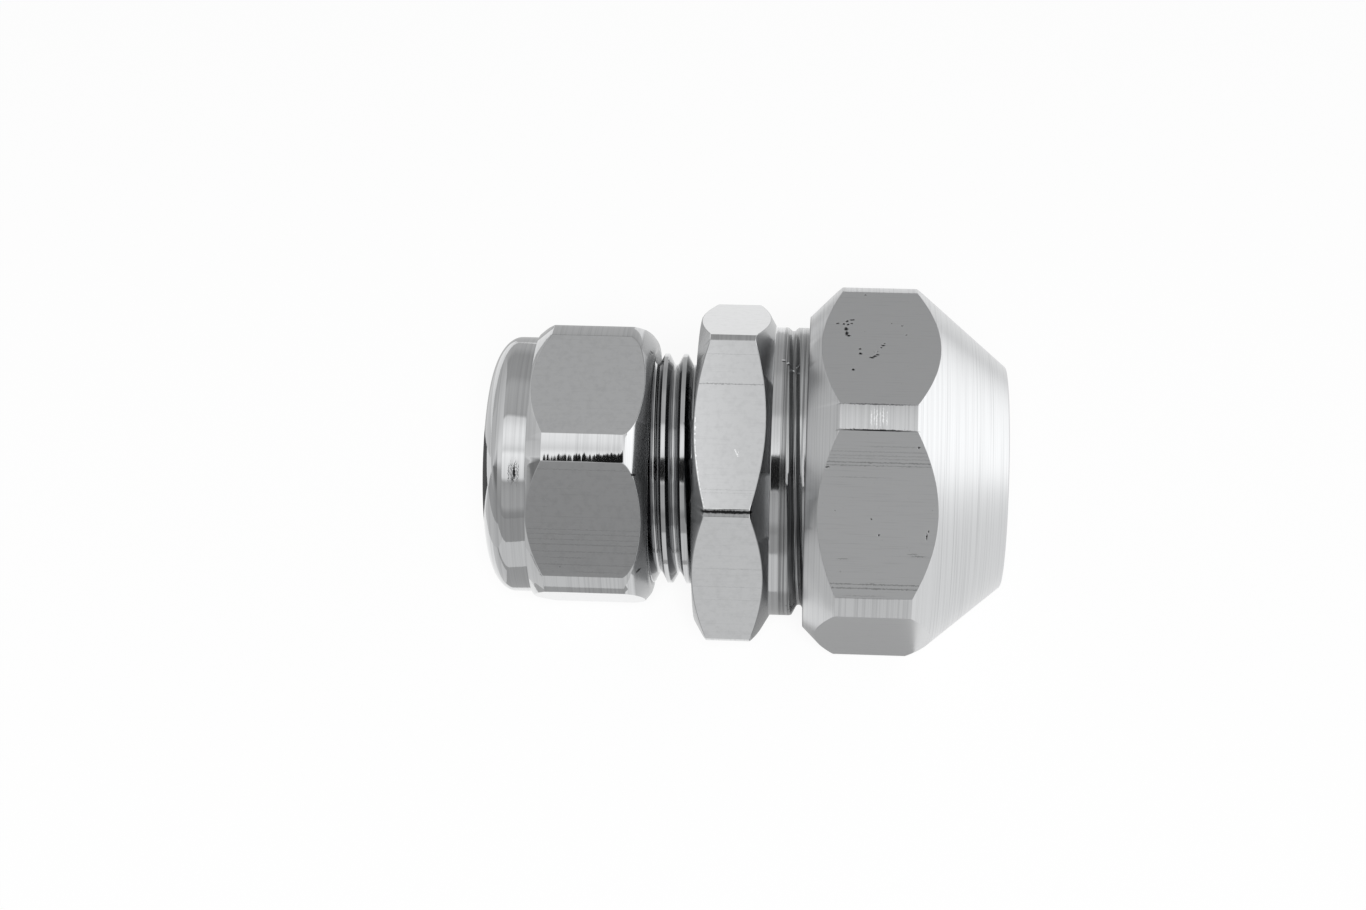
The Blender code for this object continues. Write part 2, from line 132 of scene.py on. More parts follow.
# Compression rings
SMALL_RING_LENGTH = 4.60 * MM
LARGE_RING_LENGTH = 5.20 * MM
SMALL_RING_WALL = 1.10 * MM
LARGE_RING_WALL = 1.20 * MM
RING_END_WALL = 0.30 * MM
SEAT_GAP = 0.30 * MM
SMALL_RING_INNER = (SMALL_THREAD_END + SMALL_MOUTH_DEPTH - RING_END_WALL / math.tan(MOUTH_ANGLE)
                    - SEAT_GAP / math.sin(MOUTH_ANGLE))
LARGE_RING_INNER = (LARGE_THREAD_END - LARGE_MOUTH_DEPTH + RING_END_WALL / math.tan(MOUTH_ANGLE)
                    + SEAT_GAP / math.sin(MOUTH_ANGLE))

# Edges: how far a turned edge and a flat's edge are broken
TURNED_EDGE = 0.06 * MM
FLAT_EDGE = 0.04 * MM

# Points closer than the first are one point. Corners that turn less than the
# second aren't rounded, and edges that turn more than the third are shaded sharp
WELD = 0.0004 * MM
SMOOTH_CORNER = math.radians(20.0)
SHARP_CORNER = math.radians(32.0)

# Details of the threads' ends and mouths
LIP = 0.30 * MM
RUNOUT_END = 0.12 * MM
RELIEF_STEP = 0.05 * MM
SINK_STEP = 0.05 * MM
FLANK_STEPS = 3
RIM_MATCH = 0.01 * MM

# Camera, fitted to the photograph
LENS = 69.65
CAMERA_DISTANCE = 190.45 * MM
CAMERA_LIFT = 0.963 * MM
CAMERA_YAW = math.radians(3.2)
CAMERA_ROLL = math.radians(1.575)
CAMERA_RISE = math.radians(43.2)

# Soft light: the white surround and a lamp beside the camera make white together
SURROUND_LIGHT = 0.30
LAMP_DISTANCE = 1000.0 * MM
LAMP_SIZE = 300.0 * MM
LAMP_POWER = 10.6
FLOOR_RADIUS = 130.0 * MM
CARD_HEIGHT = 0.05 * MM
FLOOR_BACK = 60.0 * MM
FLOOR_GLOW = 0.88

# Cards on the board, in millimetres: where they start and stop along the tube
# and from front to back, and how bright they are. The shade cards and the shadow
# card are dark sheets that stand for the union's shadow on the board, as the metal
# mirrors it; the pale cards stand for the board in light shade
FLOOR_CARDS = {
    "grey_card": (-130, -9, -130, -31, 0.42),
    "body_grey_card": (-9, 18, -130, -40, 0.42),
    "pale_card": (-31, -9, -31, -14.4, 0.78),
    "body_pale_card": (-9, 18, -40, -14.4, 0.78),
    "nut_shade_card": (-31, -4, -14.4, -12.4, 0.47),
    "collar_shade_card": (-19.6, -15, -12.4, -5.2, 0.47),
    "dome_low_card": (-31, -19.6, -12.4, -5, 0.75),
    "dome_edge_card": (-50, -31, -31, 5, 0.68),
    "dome_card": (-110, -50, -31, 5, 0.45),
    "limb_card": (-110, -33, 17.6, 36, 0.75),
    "large_shade_card": (1.5, 12.5, -14.4, 12, 0.47),
    # Painted shadow: the union's shadow on the board behind its small end, as the metal mirrors it
    "painted_shadow_card": (-47, -14.5, 6.5, 17.6, 0.10),
    "collar_card": (-33, -12, 17.6, 90, 0.55),
    "back_card": (-40, 0, 90, 190, 0.57),
}

# Light tent: brightness of its cloth by angle about the tube axis, in degrees
# from level behind the union over its top, and of the cloth past its two ends.
# A round, dark opening for the lens lies in front of the camera.
TENT_RADIUS = 400.0 * MM
TENT_HALF = 400.0 * MM
TENT_END = 260.0 * MM
TENT_CENTRE = 200.0 * MM
BRIGHTEST = 2.5
LENS_CENTRE = (25.0 * MM, -291.6 * MM, 273.8 * MM)
LENS_RADIUS = 98.0 * MM
LENS_EDGE = 3.0 * MM
TENT_BELOW = ((-180, 0.38), (-172, 0.33), (-165, 0.36), (-90, 0.5))
TENT_FRONT = ((151.5, 0.47), (160, 0.52), (174, 0.53), (180, 0.38))
TENT_SIDES = TENT_BELOW + (
    (-5, 0.6), (22, 0.42), (52, 0.45), (60, 0.55), (65, 0.57), (87, 0.57), (92, 0.62),
    (95, 0.82), (106, 0.90), (110, 0.94), (125, 1.2), (148, 1.0)) + TENT_FRONT
TENT_SMALL_SIDES = TENT_BELOW + (
    (-5, 0.54), (9, 0.54), (22, 0.42), (52, 0.45), (60, 0.55), (65, 0.57), (88, 0.55),
    (92, 0.52), (94, 0.95), (103, 1.18), (110, 1.24), (117, 1.18), (123, 0.98), (127, 1.3),
    (148, 1.0)) + TENT_FRONT
TENT_SMALL_REACH = (-12.0 * MM, -35.0 * MM)
TENT_LARGE_END = (
    (-180, 1.15), (-153, 1.05), (-90, 0.95), (-2, 1.0), (12, 1.4), (27, 1.58), (87, 1.68),
    (137, 1.52), (167, 1.3), (180, 1.15))
TENT_SMALL_END = (
    (-180, 0.4), (-162, 0.42), (-123, 0.8), (-33, 0.7), (-5, 0.55), (7, 0.58), (45, 0.72),
    (87, 0.81), (97, 0.88), (113, 1.0), (132, 1.0), (142, 0.6), (151, 0.48), (180, 0.4))
TENT_SMALL_CENTRE = (
    (-180, 0.4), (-140, 0.52), (-100, 0.55), (0, 0.66), (35, 0.66), (60, 0.72), (78, 0.78),
    (110, 0.9), (125, 0.7), (140, 0.25), (165, 0.25), (180, 0.4))

# Finishes
CHROME = "#CECFD0"
CHROME_LINE = "#B4B5B6"
CHROME_FAINT = "#BDBEBF"
# Dull grey of die lines and pits; also painted shade on the chamfers, the small nut's rounded end and the
# large thread's flanks
CHROME_DULL_AND_SHADE = "#A2A3A4"
# Painted shade: dark reflections on the collar and in the scored stretches of thread
CHROME_SHADE = "#606162"
# Bright tone of a scratch, and of painted highlights and glints
CHROME_SCRATCH_AND_HIGHLIGHT = "#F6F7F8"
# Painted shade: the small thread's flanks, the large nut's inner face and a dark line painted on its corner
# band
CHROME_PAINTED_SHADE = "#77787A"
# Near black of real pits, and of painted dark reflections and painted shade on burrs
CHROME_PIT_AND_PAINTED_DARK = "#2E2E2F"
LENS_BLACK = (0.006, 0.006, 0.006, 1.0)
BRASS = "#D9BE7C"
BRASS_SHADE = "#B3924F"

# Lathe lines: over what length they change round the axis, and how far apart the
# feed's ridges are. Marks: how fine and how ragged their outline is, and how deep
# under the surface they reach.
LATHE_DRIFT = 0.05 * MM
CHATTER_DRIFT = 0.3 * MM
CHATTER_SPACING = 0.16 * MM
MARK_SPACING = 0.12 * MM
MARK_REACH = 0.10 * MM
MARK_THICKNESS = 0.5 * MM

# How far from the axis the burrs on the large thread lie
BURR_RADIUS = 10.20 * MM

# Marks on the metal: a colour and a depth, then places. Some are real die lines,
# pits, a scratch and burrs, and some are painted highlights and painted dark
# reflections, as said at each. A place is a turn in degrees from level behind and a
# distance from the axis, then its marks: station, offset across the surface, half
# length and half width, all in millimetres
BODY_FLAT_MARKS = [
    (CHROME_FAINT, 0.0, [
        (120.0, BODY_FLAT, [(3.5, 4.69, 9.0, 0.03), (3.5, 4.92, 9.0, 0.02), (3.5, -5.0, 9.0, 0.03)]),
        (180.0, BODY_FLAT, [(3.8, -1.03, 9.0, 0.03), (3.8, 0.75, 9.0, 0.03), (3.8, 2.05, 9.0, 0.02)])]),
    (CHROME_DULL_AND_SHADE, 0.0, [
        (120.0, BODY_FLAT, [(3.5, -2.84, 9.0, 0.045)])]),
    # A bright scratch, then a painted highlight along the flat's edge by the chamfer
    (CHROME_SCRATCH_AND_HIGHLIGHT, 0.0, [
        (120.0, BODY_FLAT, [(4.11, 1.86, 0.05, 0.06), (4.17, 1.96, 0.05, 0.08), (4.22, 2.07, 0.05, 0.08),
            (4.28, 2.18, 0.05, 0.08), (4.33, 2.28, 0.04, 0.06), (4.35, 2.02, 0.03, 0.03),
            (1.29, -0.2, 0.09, 0.3), (1.32, 0.34, 0.09, 0.26), (1.33, 0.8, 0.09, 0.1),
            (1.34, 1.3, 0.09, 0.3), (1.37, 1.87, 0.09, 0.34), (1.43, 2.4, 0.09, 0.32),
            (1.49, 2.86, 0.09, 0.3), (1.55, 3.24, 0.09, 0.28), (1.62, 3.63, 0.09, 0.28),
            (1.68, 4.02, 0.09, 0.28), (1.75, 4.4, 0.09, 0.28), (1.82, 4.75, 0.09, 0.26),
            (1.88, 5.07, 0.09, 0.24), (1.96, 5.38, 0.09, 0.24), (2.03, 5.66, 0.09, 0.22),
            (2.09, 5.94, 0.09, 0.2), (2.14, 6.14, 0.09, 0.15)])]),
]
SMALL_NUT_FLAT_MARKS = [
    (CHROME_FAINT, 0.0, [
        (159.8, SMALL_NUT_FLAT, [(-6.5, -3.76, 9.0, 0.03), (-6.5, 0.75, 9.0, 0.03),
            (-6.5, 1.1, 9.0, 0.04), (-6.2, 1.51, 9.0, 0.03), (-6.5, 1.89, 9.0, 0.05),
            (-6.5, 2.43, 9.0, 0.04), (-7.5, 2.89, 2.0, 0.05), (-6.5, 3.42, 9.0, 0.04),
            (-5.5, 3.96, 2.0, 0.04)])]),
    (CHROME_DULL_AND_SHADE, 0.005 * MM, [
        (159.8, SMALL_NUT_FLAT, [(-7.96, 3.62, 0.1, 0.08), (-4.96, 4.0, 0.03, 0.14),
            (-8.23, 3.25, 0.06, 0.06)])]),
]
BODY_TURNED_MARKS = [
    # A painted dark reflection: a black line along the corner band
    (CHROME_PIT_AND_PAINTED_DARK, 0.0, [
        (149.7, BODY_CORNER, [(3.8, 0.0, 5.0, 0.15)])]),
]
LARGE_THREAD_MARKS = [
    # Burrs where the thread runs out: small dents with painted glints
    (CHROME_SCRATCH_AND_HIGHLIGHT, 0.01 * MM, [
        (90.0, BURR_RADIUS, [(7.16, -0.3, 0.2, 0.08), (7.48, 0.02, 0.18, 0.08), (7.84, 0.4, 0.18, 0.08),
            (8.16, 0.1, 0.18, 0.08)]),
        (206.0, BURR_RADIUS, [(7.62, 1.8, 0.18, 0.08), (8.05, 0.38, 0.18, 0.09),
            (8.4, -0.13, 0.16, 0.08)])]),
    # and painted shade on the burrs, as dark spots over dents
    (CHROME_PIT_AND_PAINTED_DARK, 0.02 * MM, [
        (90.0, BURR_RADIUS, [(7.2, -0.14, 0.18, 0.08), (7.52, 0.18, 0.18, 0.08),
            (7.86, 0.56, 0.16, 0.07), (8.24, 0.34, 0.14, 0.07), (8.09, -0.18, 0.12, 0.06)]),
        (206.0, BURR_RADIUS, [(7.59, 1.64, 0.16, 0.08), (7.75, -0.59, 0.14, 0.07),
            (8.02, 0.22, 0.18, 0.08), (8.38, -0.29, 0.15, 0.08), (8.73, -0.68, 0.14, 0.07)])]),
]
SMALL_NUT_TURNED_MARKS = [
    # Painted dark reflection: ragged dark striations across the collar
    (CHROME_SHADE, 0.0, [
        (140.0, COLLAR_RADIUS, [(-10.86, 0.0, 0.035, 0.9), (-10.97, 0.1, 0.03, 1.1),
            (-11.07, -0.1, 0.04, 1.0), (-11.21, 0.1, 0.03, 0.8), (-11.3, 0.0, 0.035, 1.1),
            (-11.41, 0.0, 0.03, 0.9), (-11.52, 0.1, 0.035, 0.8)])]),
    # Pits, dented: on the collar and on the rounded end
    (CHROME_PIT_AND_PAINTED_DARK, 0.02 * MM, [
        (140.3, COLLAR_RADIUS, [(-11.13, 0.0, 0.1, 0.55), (-11.21, 0.5, 0.06, 0.25)]),
        (76.0, 9.2 * MM, [(-2.17, 0.0, 0.13, 0.2), (-2.24, 0.4, 0.08, 0.14)])]),
    # Painted dark reflections: two patches on the rounded end
    (CHROME_PIT_AND_PAINTED_DARK, 0.0, [
        (139.6, 9.97 * MM, [(-2.93, 0.0, 0.28, 0.14)]),
        (184.2, 9.63 * MM, [(-2.58, 0.0, 0.26, 0.16)])]),
]
LARGE_NUT_TURNED_MARKS = [
    # Painted dark reflections: dark lines along the corner band
    (CHROME_PIT_AND_PAINTED_DARK, 0.0, [
        (124.0, LARGE_NUT_CORNER, [(13.5, 0.0, 3.4, 0.1)])]),
    (CHROME_PAINTED_SHADE, 0.0, [
        (116.1, LARGE_NUT_CORNER, [(13.5, 0.0, 3.4, 0.06)])]),
    # Painted highlights: short bright streaks round the corner band
    (CHROME_SCRATCH_AND_HIGHLIGHT, 0.0, [
        (120.0, LARGE_NUT_CORNER, [(13.25, 0.1, 0.04, 0.75), (13.45, -0.1, 0.03, 0.8),
            (13.62, 0.1, 0.05, 0.85), (13.85, 0.0, 0.03, 0.8), (14.05, -0.1, 0.05, 0.8),
            (14.3, 0.1, 0.03, 0.75)])]),
]
LARGE_NUT_FLAT_MARKS = [
    (CHROME_FAINT, 0.0, [
        (150.0, LARGE_NUT_FLAT, [(13.9, -4.38, 9.0, 0.05), (13.9, -4.11, 9.0, 0.05),
            (13.9, -3.9, 9.0, 0.04), (12.6, -2.59, 2.6, 0.04), (13.0, 5.68, 2.0, 0.05),
            (14.9, -4.75, 3.0, 0.05)])]),
    (CHROME_DULL_AND_SHADE, 0.0, [
        (150.0, LARGE_NUT_FLAT, [(13.9, -3.63, 9.0, 0.05), (13.9, -3.42, 9.0, 0.03),
            (14.2, 4.86, 9.0, 0.05), (14.2, 5.15, 9.0, 0.05), (11.6, 3.1, 0.5, 0.04),
            (16.7, 2.8, 0.6, 0.05), (16.3, 2.65, 0.4, 0.04)])]),
    (CHROME_PIT_AND_PAINTED_DARK, 0.02 * MM, [
        (90.0, LARGE_NUT_FLAT, [(10.83, -2.4, 0.13, 0.1), (11.25, -2.34, 0.12, 0.1),
            (11.48, -2.65, 0.13, 0.12), (11.85, -2.81, 0.2, 0.11), (11.8, -2.44, 0.1, 0.1),
            (11.54, -2.31, 0.12, 0.1), (11.42, -1.82, 0.17, 0.22), (11.48, -1.34, 0.14, 0.3),
            (11.63, -1.12, 0.17, 0.12), (12.41, 0.25, 0.11, 0.11), (12.44, 0.72, 0.15, 0.15),
            (13.22, 1.13, 0.22, 0.1), (13.42, 0.98, 0.2, 0.1), (13.61, 0.82, 0.15, 0.1),
            (13.99, -0.18, 0.18, 0.1), (13.85, 0.05, 0.08, 0.08), (14.09, -0.37, 0.08, 0.08),
            (13.61, 0.49, 0.07, 0.07), (11.96, 2.41, 0.13, 0.13), (14.56, -2.54, 0.06, 0.06),
            (15.29, -2.31, 0.1, 0.08), (15.57, -1.35, 0.07, 0.07), (12.74, -5.55, 0.07, 0.07)]),
        (150.0, LARGE_NUT_FLAT, [(13.45, 0.27, 0.07, 0.07), (14.0, 1.38, 0.09, 0.08),
            (16.47, -4.74, 0.11, 0.1), (10.39, -3.25, 0.2, 0.07), (17.2, 1.4, 0.06, 0.3),
            (17.3, 1.05, 0.05, 0.12), (10.99, -0.24, 0.06, 0.06)])]),
]

# Zones, in millimetres along the axis: where each starts, is full, is still full and stops
# Stations that are rougher and darkened with painted shade: the body's chamfers, and the small nut's rounded
# end
BODY_SHADED = [(1.10, 1.16, 2.05, 2.12), (5.30, 5.38, 6.46, 6.52)]
SMALL_NUT_SHADED = [(-2.95, -2.80, -1.90, -1.80)]
# The large nut's inner face, darkened with painted shade in the recess by the body
LARGE_NUT_FACE_SHADE = (8.5, 8.8, 8.92, 9.0)
# Stretches of thread, rougher, with dark scoring lines that are partly real and partly painted shade
SMALL_SCORES_AND_SHADE = (0.70, 0.78, 1.14, 1.20)
LARGE_SCORES_AND_SHADE = (7.12, 7.16, 9.40, 9.50)

# The tube axis in the frame
LOW_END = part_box("small_nut")[0]
BODY_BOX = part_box("union_body")
AXIS_ORIGIN = LOW_END[0] - SMALL_NUT_OUTER_END
AXIS_HEIGHT = (BODY_BOX[0][2] + BODY_BOX[1][2]) / 2.0
TO_FRAME = Matrix.Translation((AXIS_ORIGIN, 0.0, AXIS_HEIGHT)) @ Matrix.Rotation(math.pi / 2.0, 4, "Y")


def add_node(tree, kind, inputs=None, **settings):
    """Add a node and set it up. The kind leaves out ShaderNode.

    An input is given a value, or the output of a node that feeds it.
    """
    node = tree.nodes.new("ShaderNode" + kind)
    for name, value in settings.items():
        setattr(node, name, value)
    for name, value in (inputs or {}).items():
        if isinstance(value, bpy.types.NodeSocket):
            tree.links.new(value, node.inputs[name])
        else:
            node.inputs[name].default_value = value
    return node


def linear(code):
    """Turn an sRGB hex colour to linear values."""
    channels = [int(code[index:index + 2], 16) / 255.0 for index in (1, 3, 5)]
    return tuple(value / 12.92 if value <= 0.04045 else ((value + 0.055) / 1.055) ** 2.4
                 for value in channels) + (1.0,)


def new_material(name):
    """Start a material with nodes, and return it and its tree."""
    material = bpy.data.materials.new(name)
    material.use_nodes = True
    return material, material.node_tree


def metal_material(name, color, roughness):
    """Start a metal's material, and return it, its tree and its shader."""
    material, tree = new_material(name)
    shader = tree.nodes["Principled BSDF"]
    shader.inputs["Base Color"].default_value = linear(color)
    shader.inputs["Metallic"].default_value = 1.0
    shader.inputs["Roughness"].default_value = roughness
    return material, tree, shader


def centred(tree):
    """Give the position of a point from the tube axis."""
    place = add_node(tree, "TexCoord")
    return add_node(tree, "Mapping",
                    {"Location": (-AXIS_ORIGIN, 0.0, -AXIS_HEIGHT),
                     "Vector": place.outputs["Object"]}).outputs["Vector"]


def turning_vector(tree, length):
    """Give coordinates along which a lathe's lines run.

    The first two are the station and the radius, and the third grows slowly
    round the axis, so that a line changes over about the given length.
    """
    parts = add_node(tree, "SeparateXYZ", {"Vector": centred(tree)})
    around = add_node(tree, "Math", {0: parts.outputs["Y"], 1: parts.outputs["Z"]}, operation="ARCTAN2")
    slow = add_node(tree, "Math", {0: around.outputs[0], 1: length}, operation="MULTIPLY")
    across = add_node(tree, "CombineXYZ", {"X": parts.outputs["Y"], "Y": parts.outputs["Z"]})
    radius = add_node(tree, "VectorMath", {0: across.outputs[0]}, operation="LENGTH")
    return add_node(tree, "CombineXYZ",
                    {"X": parts.outputs["X"], "Y": radius.outputs["Value"],
                     "Z": slow.outputs[0]}).outputs[0]


def drawing_vector(tree, stretch):
    """Give coordinates along which a drawn bar's lines run, stretched lengthwise."""
    return add_node(tree, "Mapping",
                    {"Scale": (1.0 / stretch, 1.0, 1.0), "Vector": centred(tree)}).outputs["Vector"]


def lines(tree, vector, spacing, low, high):
    """Give fine lines as a mask: 0 between them and 1 in the deepest."""
    texture = add_node(tree, "TexNoise",
                       {"Scale": 1.0 / spacing, "Detail": 3.0, "Roughness": 0.6, "Vector": vector})
    return add_node(tree, "MapRange",
                    {"From Min": low, "From Max": high, "Value": texture.outputs["Fac"]}).outputs["Result"]


def level_ramp(tree, share, stops):
    """Give a level by stops, each a share from 0 to 1 and a level."""
    shades = add_node(tree, "ValToRGB", {"Fac": share})
    elements = shades.color_ramp.elements
    for index, (position, level) in enumerate(stops):
        element = elements[index] if index < 2 else elements.new(position)
        element.position = position
        element.color = (level, level, level, 1.0)
    return shades.outputs["Color"]


def zone(tree, value, edges):
    """Give a mask that rises between the first two values and falls between the others."""
    reach = edges[3] - edges[0]
    share = add_node(tree, "MapRange",
                     {"From Min": edges[0] - reach, "From Max": edges[3] + reach, "Value": value})
    stops = [((edge - edges[0] + reach) / (3.0 * reach), level)
             for edge, level in zip(edges, (0.0, 1.0, 1.0, 0.0))]
    return level_ramp(tree, share.outputs[0], stops)


def zone_mm(tree, value, edges):
    """Give a zone whose edges are in millimetres."""
    return zone(tree, value, [edge * MM for edge in edges])


def most(tree, masks):
    """Combine masks by the strongest at each point."""
    strongest = masks[0]
    for mask in masks[1:]:
        strongest = add_node(tree, "Math", {0: strongest, 1: mask}, operation="MAXIMUM").outputs[0]
    return strongest


def mark_mask(tree, degrees, distance, marks):
    """Give a mask of marks on one flat, each an ellipse along the bar.

    The flat faces away from the axis at a turn from level behind the union,
    and at a distance. A mark's offset is across the flat, down its front.
    """
    turn = math.radians(degrees)
    waver = add_node(tree, "TexNoise",
                     {"Scale": 1.0 / MARK_SPACING, "Detail": 2.0, "Vector": centred(tree)})
    drift = add_node(tree, "Mapping",
                     {"Location": (-MARK_REACH,) * 3, "Scale": (2.0 * MARK_REACH,) * 3,
                      "Vector": waver.outputs["Color"]})
    place = add_node(tree, "VectorMath", {0: centred(tree), 1: drift.outputs["Vector"]},
                     operation="ADD").outputs["Vector"]
    masks = []
    for station, offset, length, width in marks:
        across = distance * math.cos(turn) - offset * MM * math.sin(turn)
        above = distance * math.sin(turn) + offset * MM * math.cos(turn)
        local = add_node(tree, "Mapping",
                         {"Location": (station * MM, across, above),
                          "Rotation": (turn + math.pi / 2.0, 0.0, 0.0),
                          "Scale": (length * MM, width * MM, MARK_THICKNESS), "Vector": place},
                         vector_type="TEXTURE")
        away = add_node(tree, "VectorMath", {0: local.outputs["Vector"]}, operation="LENGTH")
        masks.append(add_node(tree, "MapRange",
                              {"From Min": 1.0, "From Max": 0.5,
                               "Value": away.outputs["Value"]}).outputs["Result"])
    return most(tree, masks)


def tint_metal(tree, shader, plain, layers):
    """Colour a metal, and lay other colours over it by their masks."""
    color = linear(plain)
    for mask, code in layers:
        color = add_node(tree, "Mix", {0: mask, 6: color, 7: linear(code)}, data_type="RGBA").outputs[2]
    tree.links.new(color, shader.inputs["Base Color"])


def sink_metal(tree, shader, layers, normal=None):
    """Sink a metal's surface where each mask is set, by a depth."""
    for mask, depth in layers:
        bump = add_node(tree, "Bump", {"Strength": 1.0, "Distance": depth, "Height": mask}, invert=True)
        if normal is not None:
            tree.links.new(normal, bump.inputs["Normal"])
        normal = bump.outputs["Normal"]
    tree.links.new(normal, shader.inputs["Normal"])


def mark_layers(tree, groups):
    """Give the tints and the dents of groups of marks."""
    tints = []
    dents = []
    for color, depth, places in groups:
        mask = most(tree, [mark_mask(tree, *place) for place in places])
        tints.append((mask, color))
        if depth > 0.0:
            dents.append((mask, depth))
    return tints, dents


def chatter(tree, tilt):
    """Tip a turned surface along the axis a little from line to line.

    The feed of a lathe's tool leaves fine ridges, so that what the metal
    mirrors is shifted along the axis. The tilt is the most it tips, as a slope.
    """
    texture = add_node(tree, "TexNoise",
                       {"Scale": 1.0 / CHATTER_SPACING, "Detail": 2.0,
                        "Vector": turning_vector(tree, CHATTER_DRIFT)})
    slope = add_node(tree, "MapRange",
                     {"From Min": 0.25, "From Max": 0.75, "To Min": -tilt, "To Max": tilt,
                      "Value": texture.outputs["Fac"]})
    push = add_node(tree, "CombineXYZ", {"X": slope.outputs[0]})
    normal = add_node(tree, "NewGeometry").outputs["Normal"]
    tipped = add_node(tree, "VectorMath", {0: normal, 1: push.outputs[0]}, operation="ADD")
    return add_node(tree, "VectorMath", {0: tipped.outputs[0]}, operation="NORMALIZE").outputs[0]


def rough_zones(tree, shader, zones, plain, rough):
    """Roughen a metal in zones, and leave it plain elsewhere."""
    level = add_node(tree, "MapRange", {"To Min": plain, "To Max": rough, "Value": most(tree, zones)})
    tree.links.new(level.outputs[0], shader.inputs["Roughness"])


def polished_chrome_turned(name, shaded, marks, depth, tilt):
    """Chromium on turned, buffed brass.

    A cool, near neutral mirror. The lathe's finest lines stay under the
    plate, run round the axis and break up the edges of what it mirrors. In
    the shaded stations the metal is rougher, and painted shade darkens it.
    """
    material, tree, shader = metal_material(name, CHROME, 0.05)
    vector = turning_vector(tree, LATHE_DRIFT)
    fine = lines(tree, vector, 0.14 * MM, 0.45, 0.85)
    station = add_node(tree, "SeparateXYZ", {"Vector": vector}).outputs["X"]
    zones = [zone_mm(tree, station, edges) for edges in shaded]
    # Painted shade in the shaded stations
    painted_shade = [(mask, CHROME_DULL_AND_SHADE) for mask in zones]
    if zones:
        rough_zones(tree, shader, zones, 0.05, 0.25)
    tints, dents = mark_layers(tree, marks)
    tint_metal(tree, shader, CHROME, [(fine, CHROME_LINE)] + painted_shade + tints)
    sink_metal(tree, shader, [(fine, depth)] + dents, chatter(tree, tilt))
    return material


def polished_chrome_thread(name, thread, flank_shade, scored_and_shaded, marks):
    """Chromium in a cut thread.

    The flanks are darkened with painted shade, as down in the groove, and the
    crests keep the plain colour. In one stretch dark scoring lines run round,
    partly real and partly painted shade, and the metal is rougher there.
    """
    material, tree, shader = metal_material(name, CHROME, 0.10)
    vector = turning_vector(tree, LATHE_DRIFT)
    fine = lines(tree, vector, 0.14 * MM, 0.45, 0.85)
    parts = add_node(tree, "SeparateXYZ", {"Vector": vector})
    depth = DEPTH_IN_PITCHES * thread.pitch
    root = thread.major - depth
    # Painted shade on the flanks, down in the groove
    flank = zone(tree, parts.outputs["Y"], (root + 0.08 * depth, root + 0.14 * depth,
                                            thread.crest - 0.09 * depth, thread.crest - 0.04 * depth))
    stretch = zone_mm(tree, parts.outputs["X"], scored_and_shaded)
    rough_zones(tree, shader, [stretch], 0.10, 0.20)
    # Dark scoring lines in the stretch, partly real and partly painted shade
    scores_and_shade = add_node(tree, "Math", {0: stretch, 1: lines(tree, vector, 0.1 * MM, 0.35, 0.7)},
                      operation="MULTIPLY").outputs[0]
    layers = [(fine, CHROME_LINE), (flank, flank_shade), (scores_and_shade, CHROME_SHADE)]
    dents = [(fine, 0.0006 * MM), (scores_and_shade, 0.0015 * MM)]
    mark_tints, mark_dents = mark_layers(tree, marks)
    tint_metal(tree, shader, CHROME, layers + mark_tints)
    sink_metal(tree, shader, dents + mark_dents, chatter(tree, 0.008))
    return material


def polished_chrome_drawn(name, marks):
    """Chromium on the flats of a drawn hexagon bar.

    The same mirror, with the long lines that the die leaves along the bar.
    """
    material, tree, shader = metal_material(name, CHROME, 0.06)
    fine = lines(tree, drawing_vector(tree, 60.0), 0.08 * MM, 0.58, 1.00)
    mottle = lines(tree, centred(tree), 0.45 * MM, 0.45, 1.30)
    tints, dents = mark_layers(tree, marks)
    tint_metal(tree, shader, CHROME, [(mottle, CHROME_LINE), (fine, CHROME_LINE)] + tints)
    sink_metal(tree, shader, [(fine, 0.0003 * MM)] + dents)
    return material


def satin_chrome_turned(marks):
    """Chromium on turned brass that wasn't buffed.

    A soft silver sheen with clear lathe lines round the axis. Its inner face,
    in the recess by the body, is darkened with painted shade.
    """
    material, tree, shader = metal_material("satin chrome on turned brass", CHROME, 0.28)
    vector = turning_vector(tree, LATHE_DRIFT)
    fine = lines(tree, vector, 0.11 * MM, 0.46, 0.78)
    station = add_node(tree, "SeparateXYZ", {"Vector": vector}).outputs["X"]
    # Painted shade on the inner face, in the recess by the body
    face = zone_mm(tree, station, LARGE_NUT_FACE_SHADE)
    tints, dents = mark_layers(tree, marks)
    tint_metal(tree, shader, CHROME, [(fine, CHROME_LINE), (face, CHROME_PAINTED_SHADE)] + tints)
    sink_metal(tree, shader, [(fine, 0.0014 * MM)] + dents)
    return material


def satin_chrome_drawn(marks):
    """Chromium on a drawn bar's flats that weren't buffed.

    A soft grey sheen, with long die lines and a few pits in the bar.
    """
    material, tree, shader = metal_material("satin chrome on drawn flats", CHROME, 0.28)
    fine = lines(tree, drawing_vector(tree, 40.0), 0.08 * MM, 0.55, 1.00)
    specks = lines(tree, centred(tree), 0.30 * MM, 0.70, 0.76)
    tints, dents = mark_layers(tree, marks)
    tint_metal(tree, shader, CHROME, [(fine, CHROME_LINE), (specks, CHROME_LINE)] + tints)
    sink_metal(tree, shader, [(fine, 0.0006 * MM)] + dents)
    return material


def turned_brass():
    """Bare brass off the lathe.

    Warm yellow metal with bright lines round the axis.
    """
    material, tree, shader = metal_material("bare turned brass", BRASS, 0.25)
    fine = lines(tree, turning_vector(tree, LATHE_DRIFT), 0.09 * MM, 0.35, 0.75)
    tint_metal(tree, shader, BRASS, [(fine, BRASS_SHADE)])
    sink_metal(tree, shader, [(fine, 0.0010 * MM)])
    return material


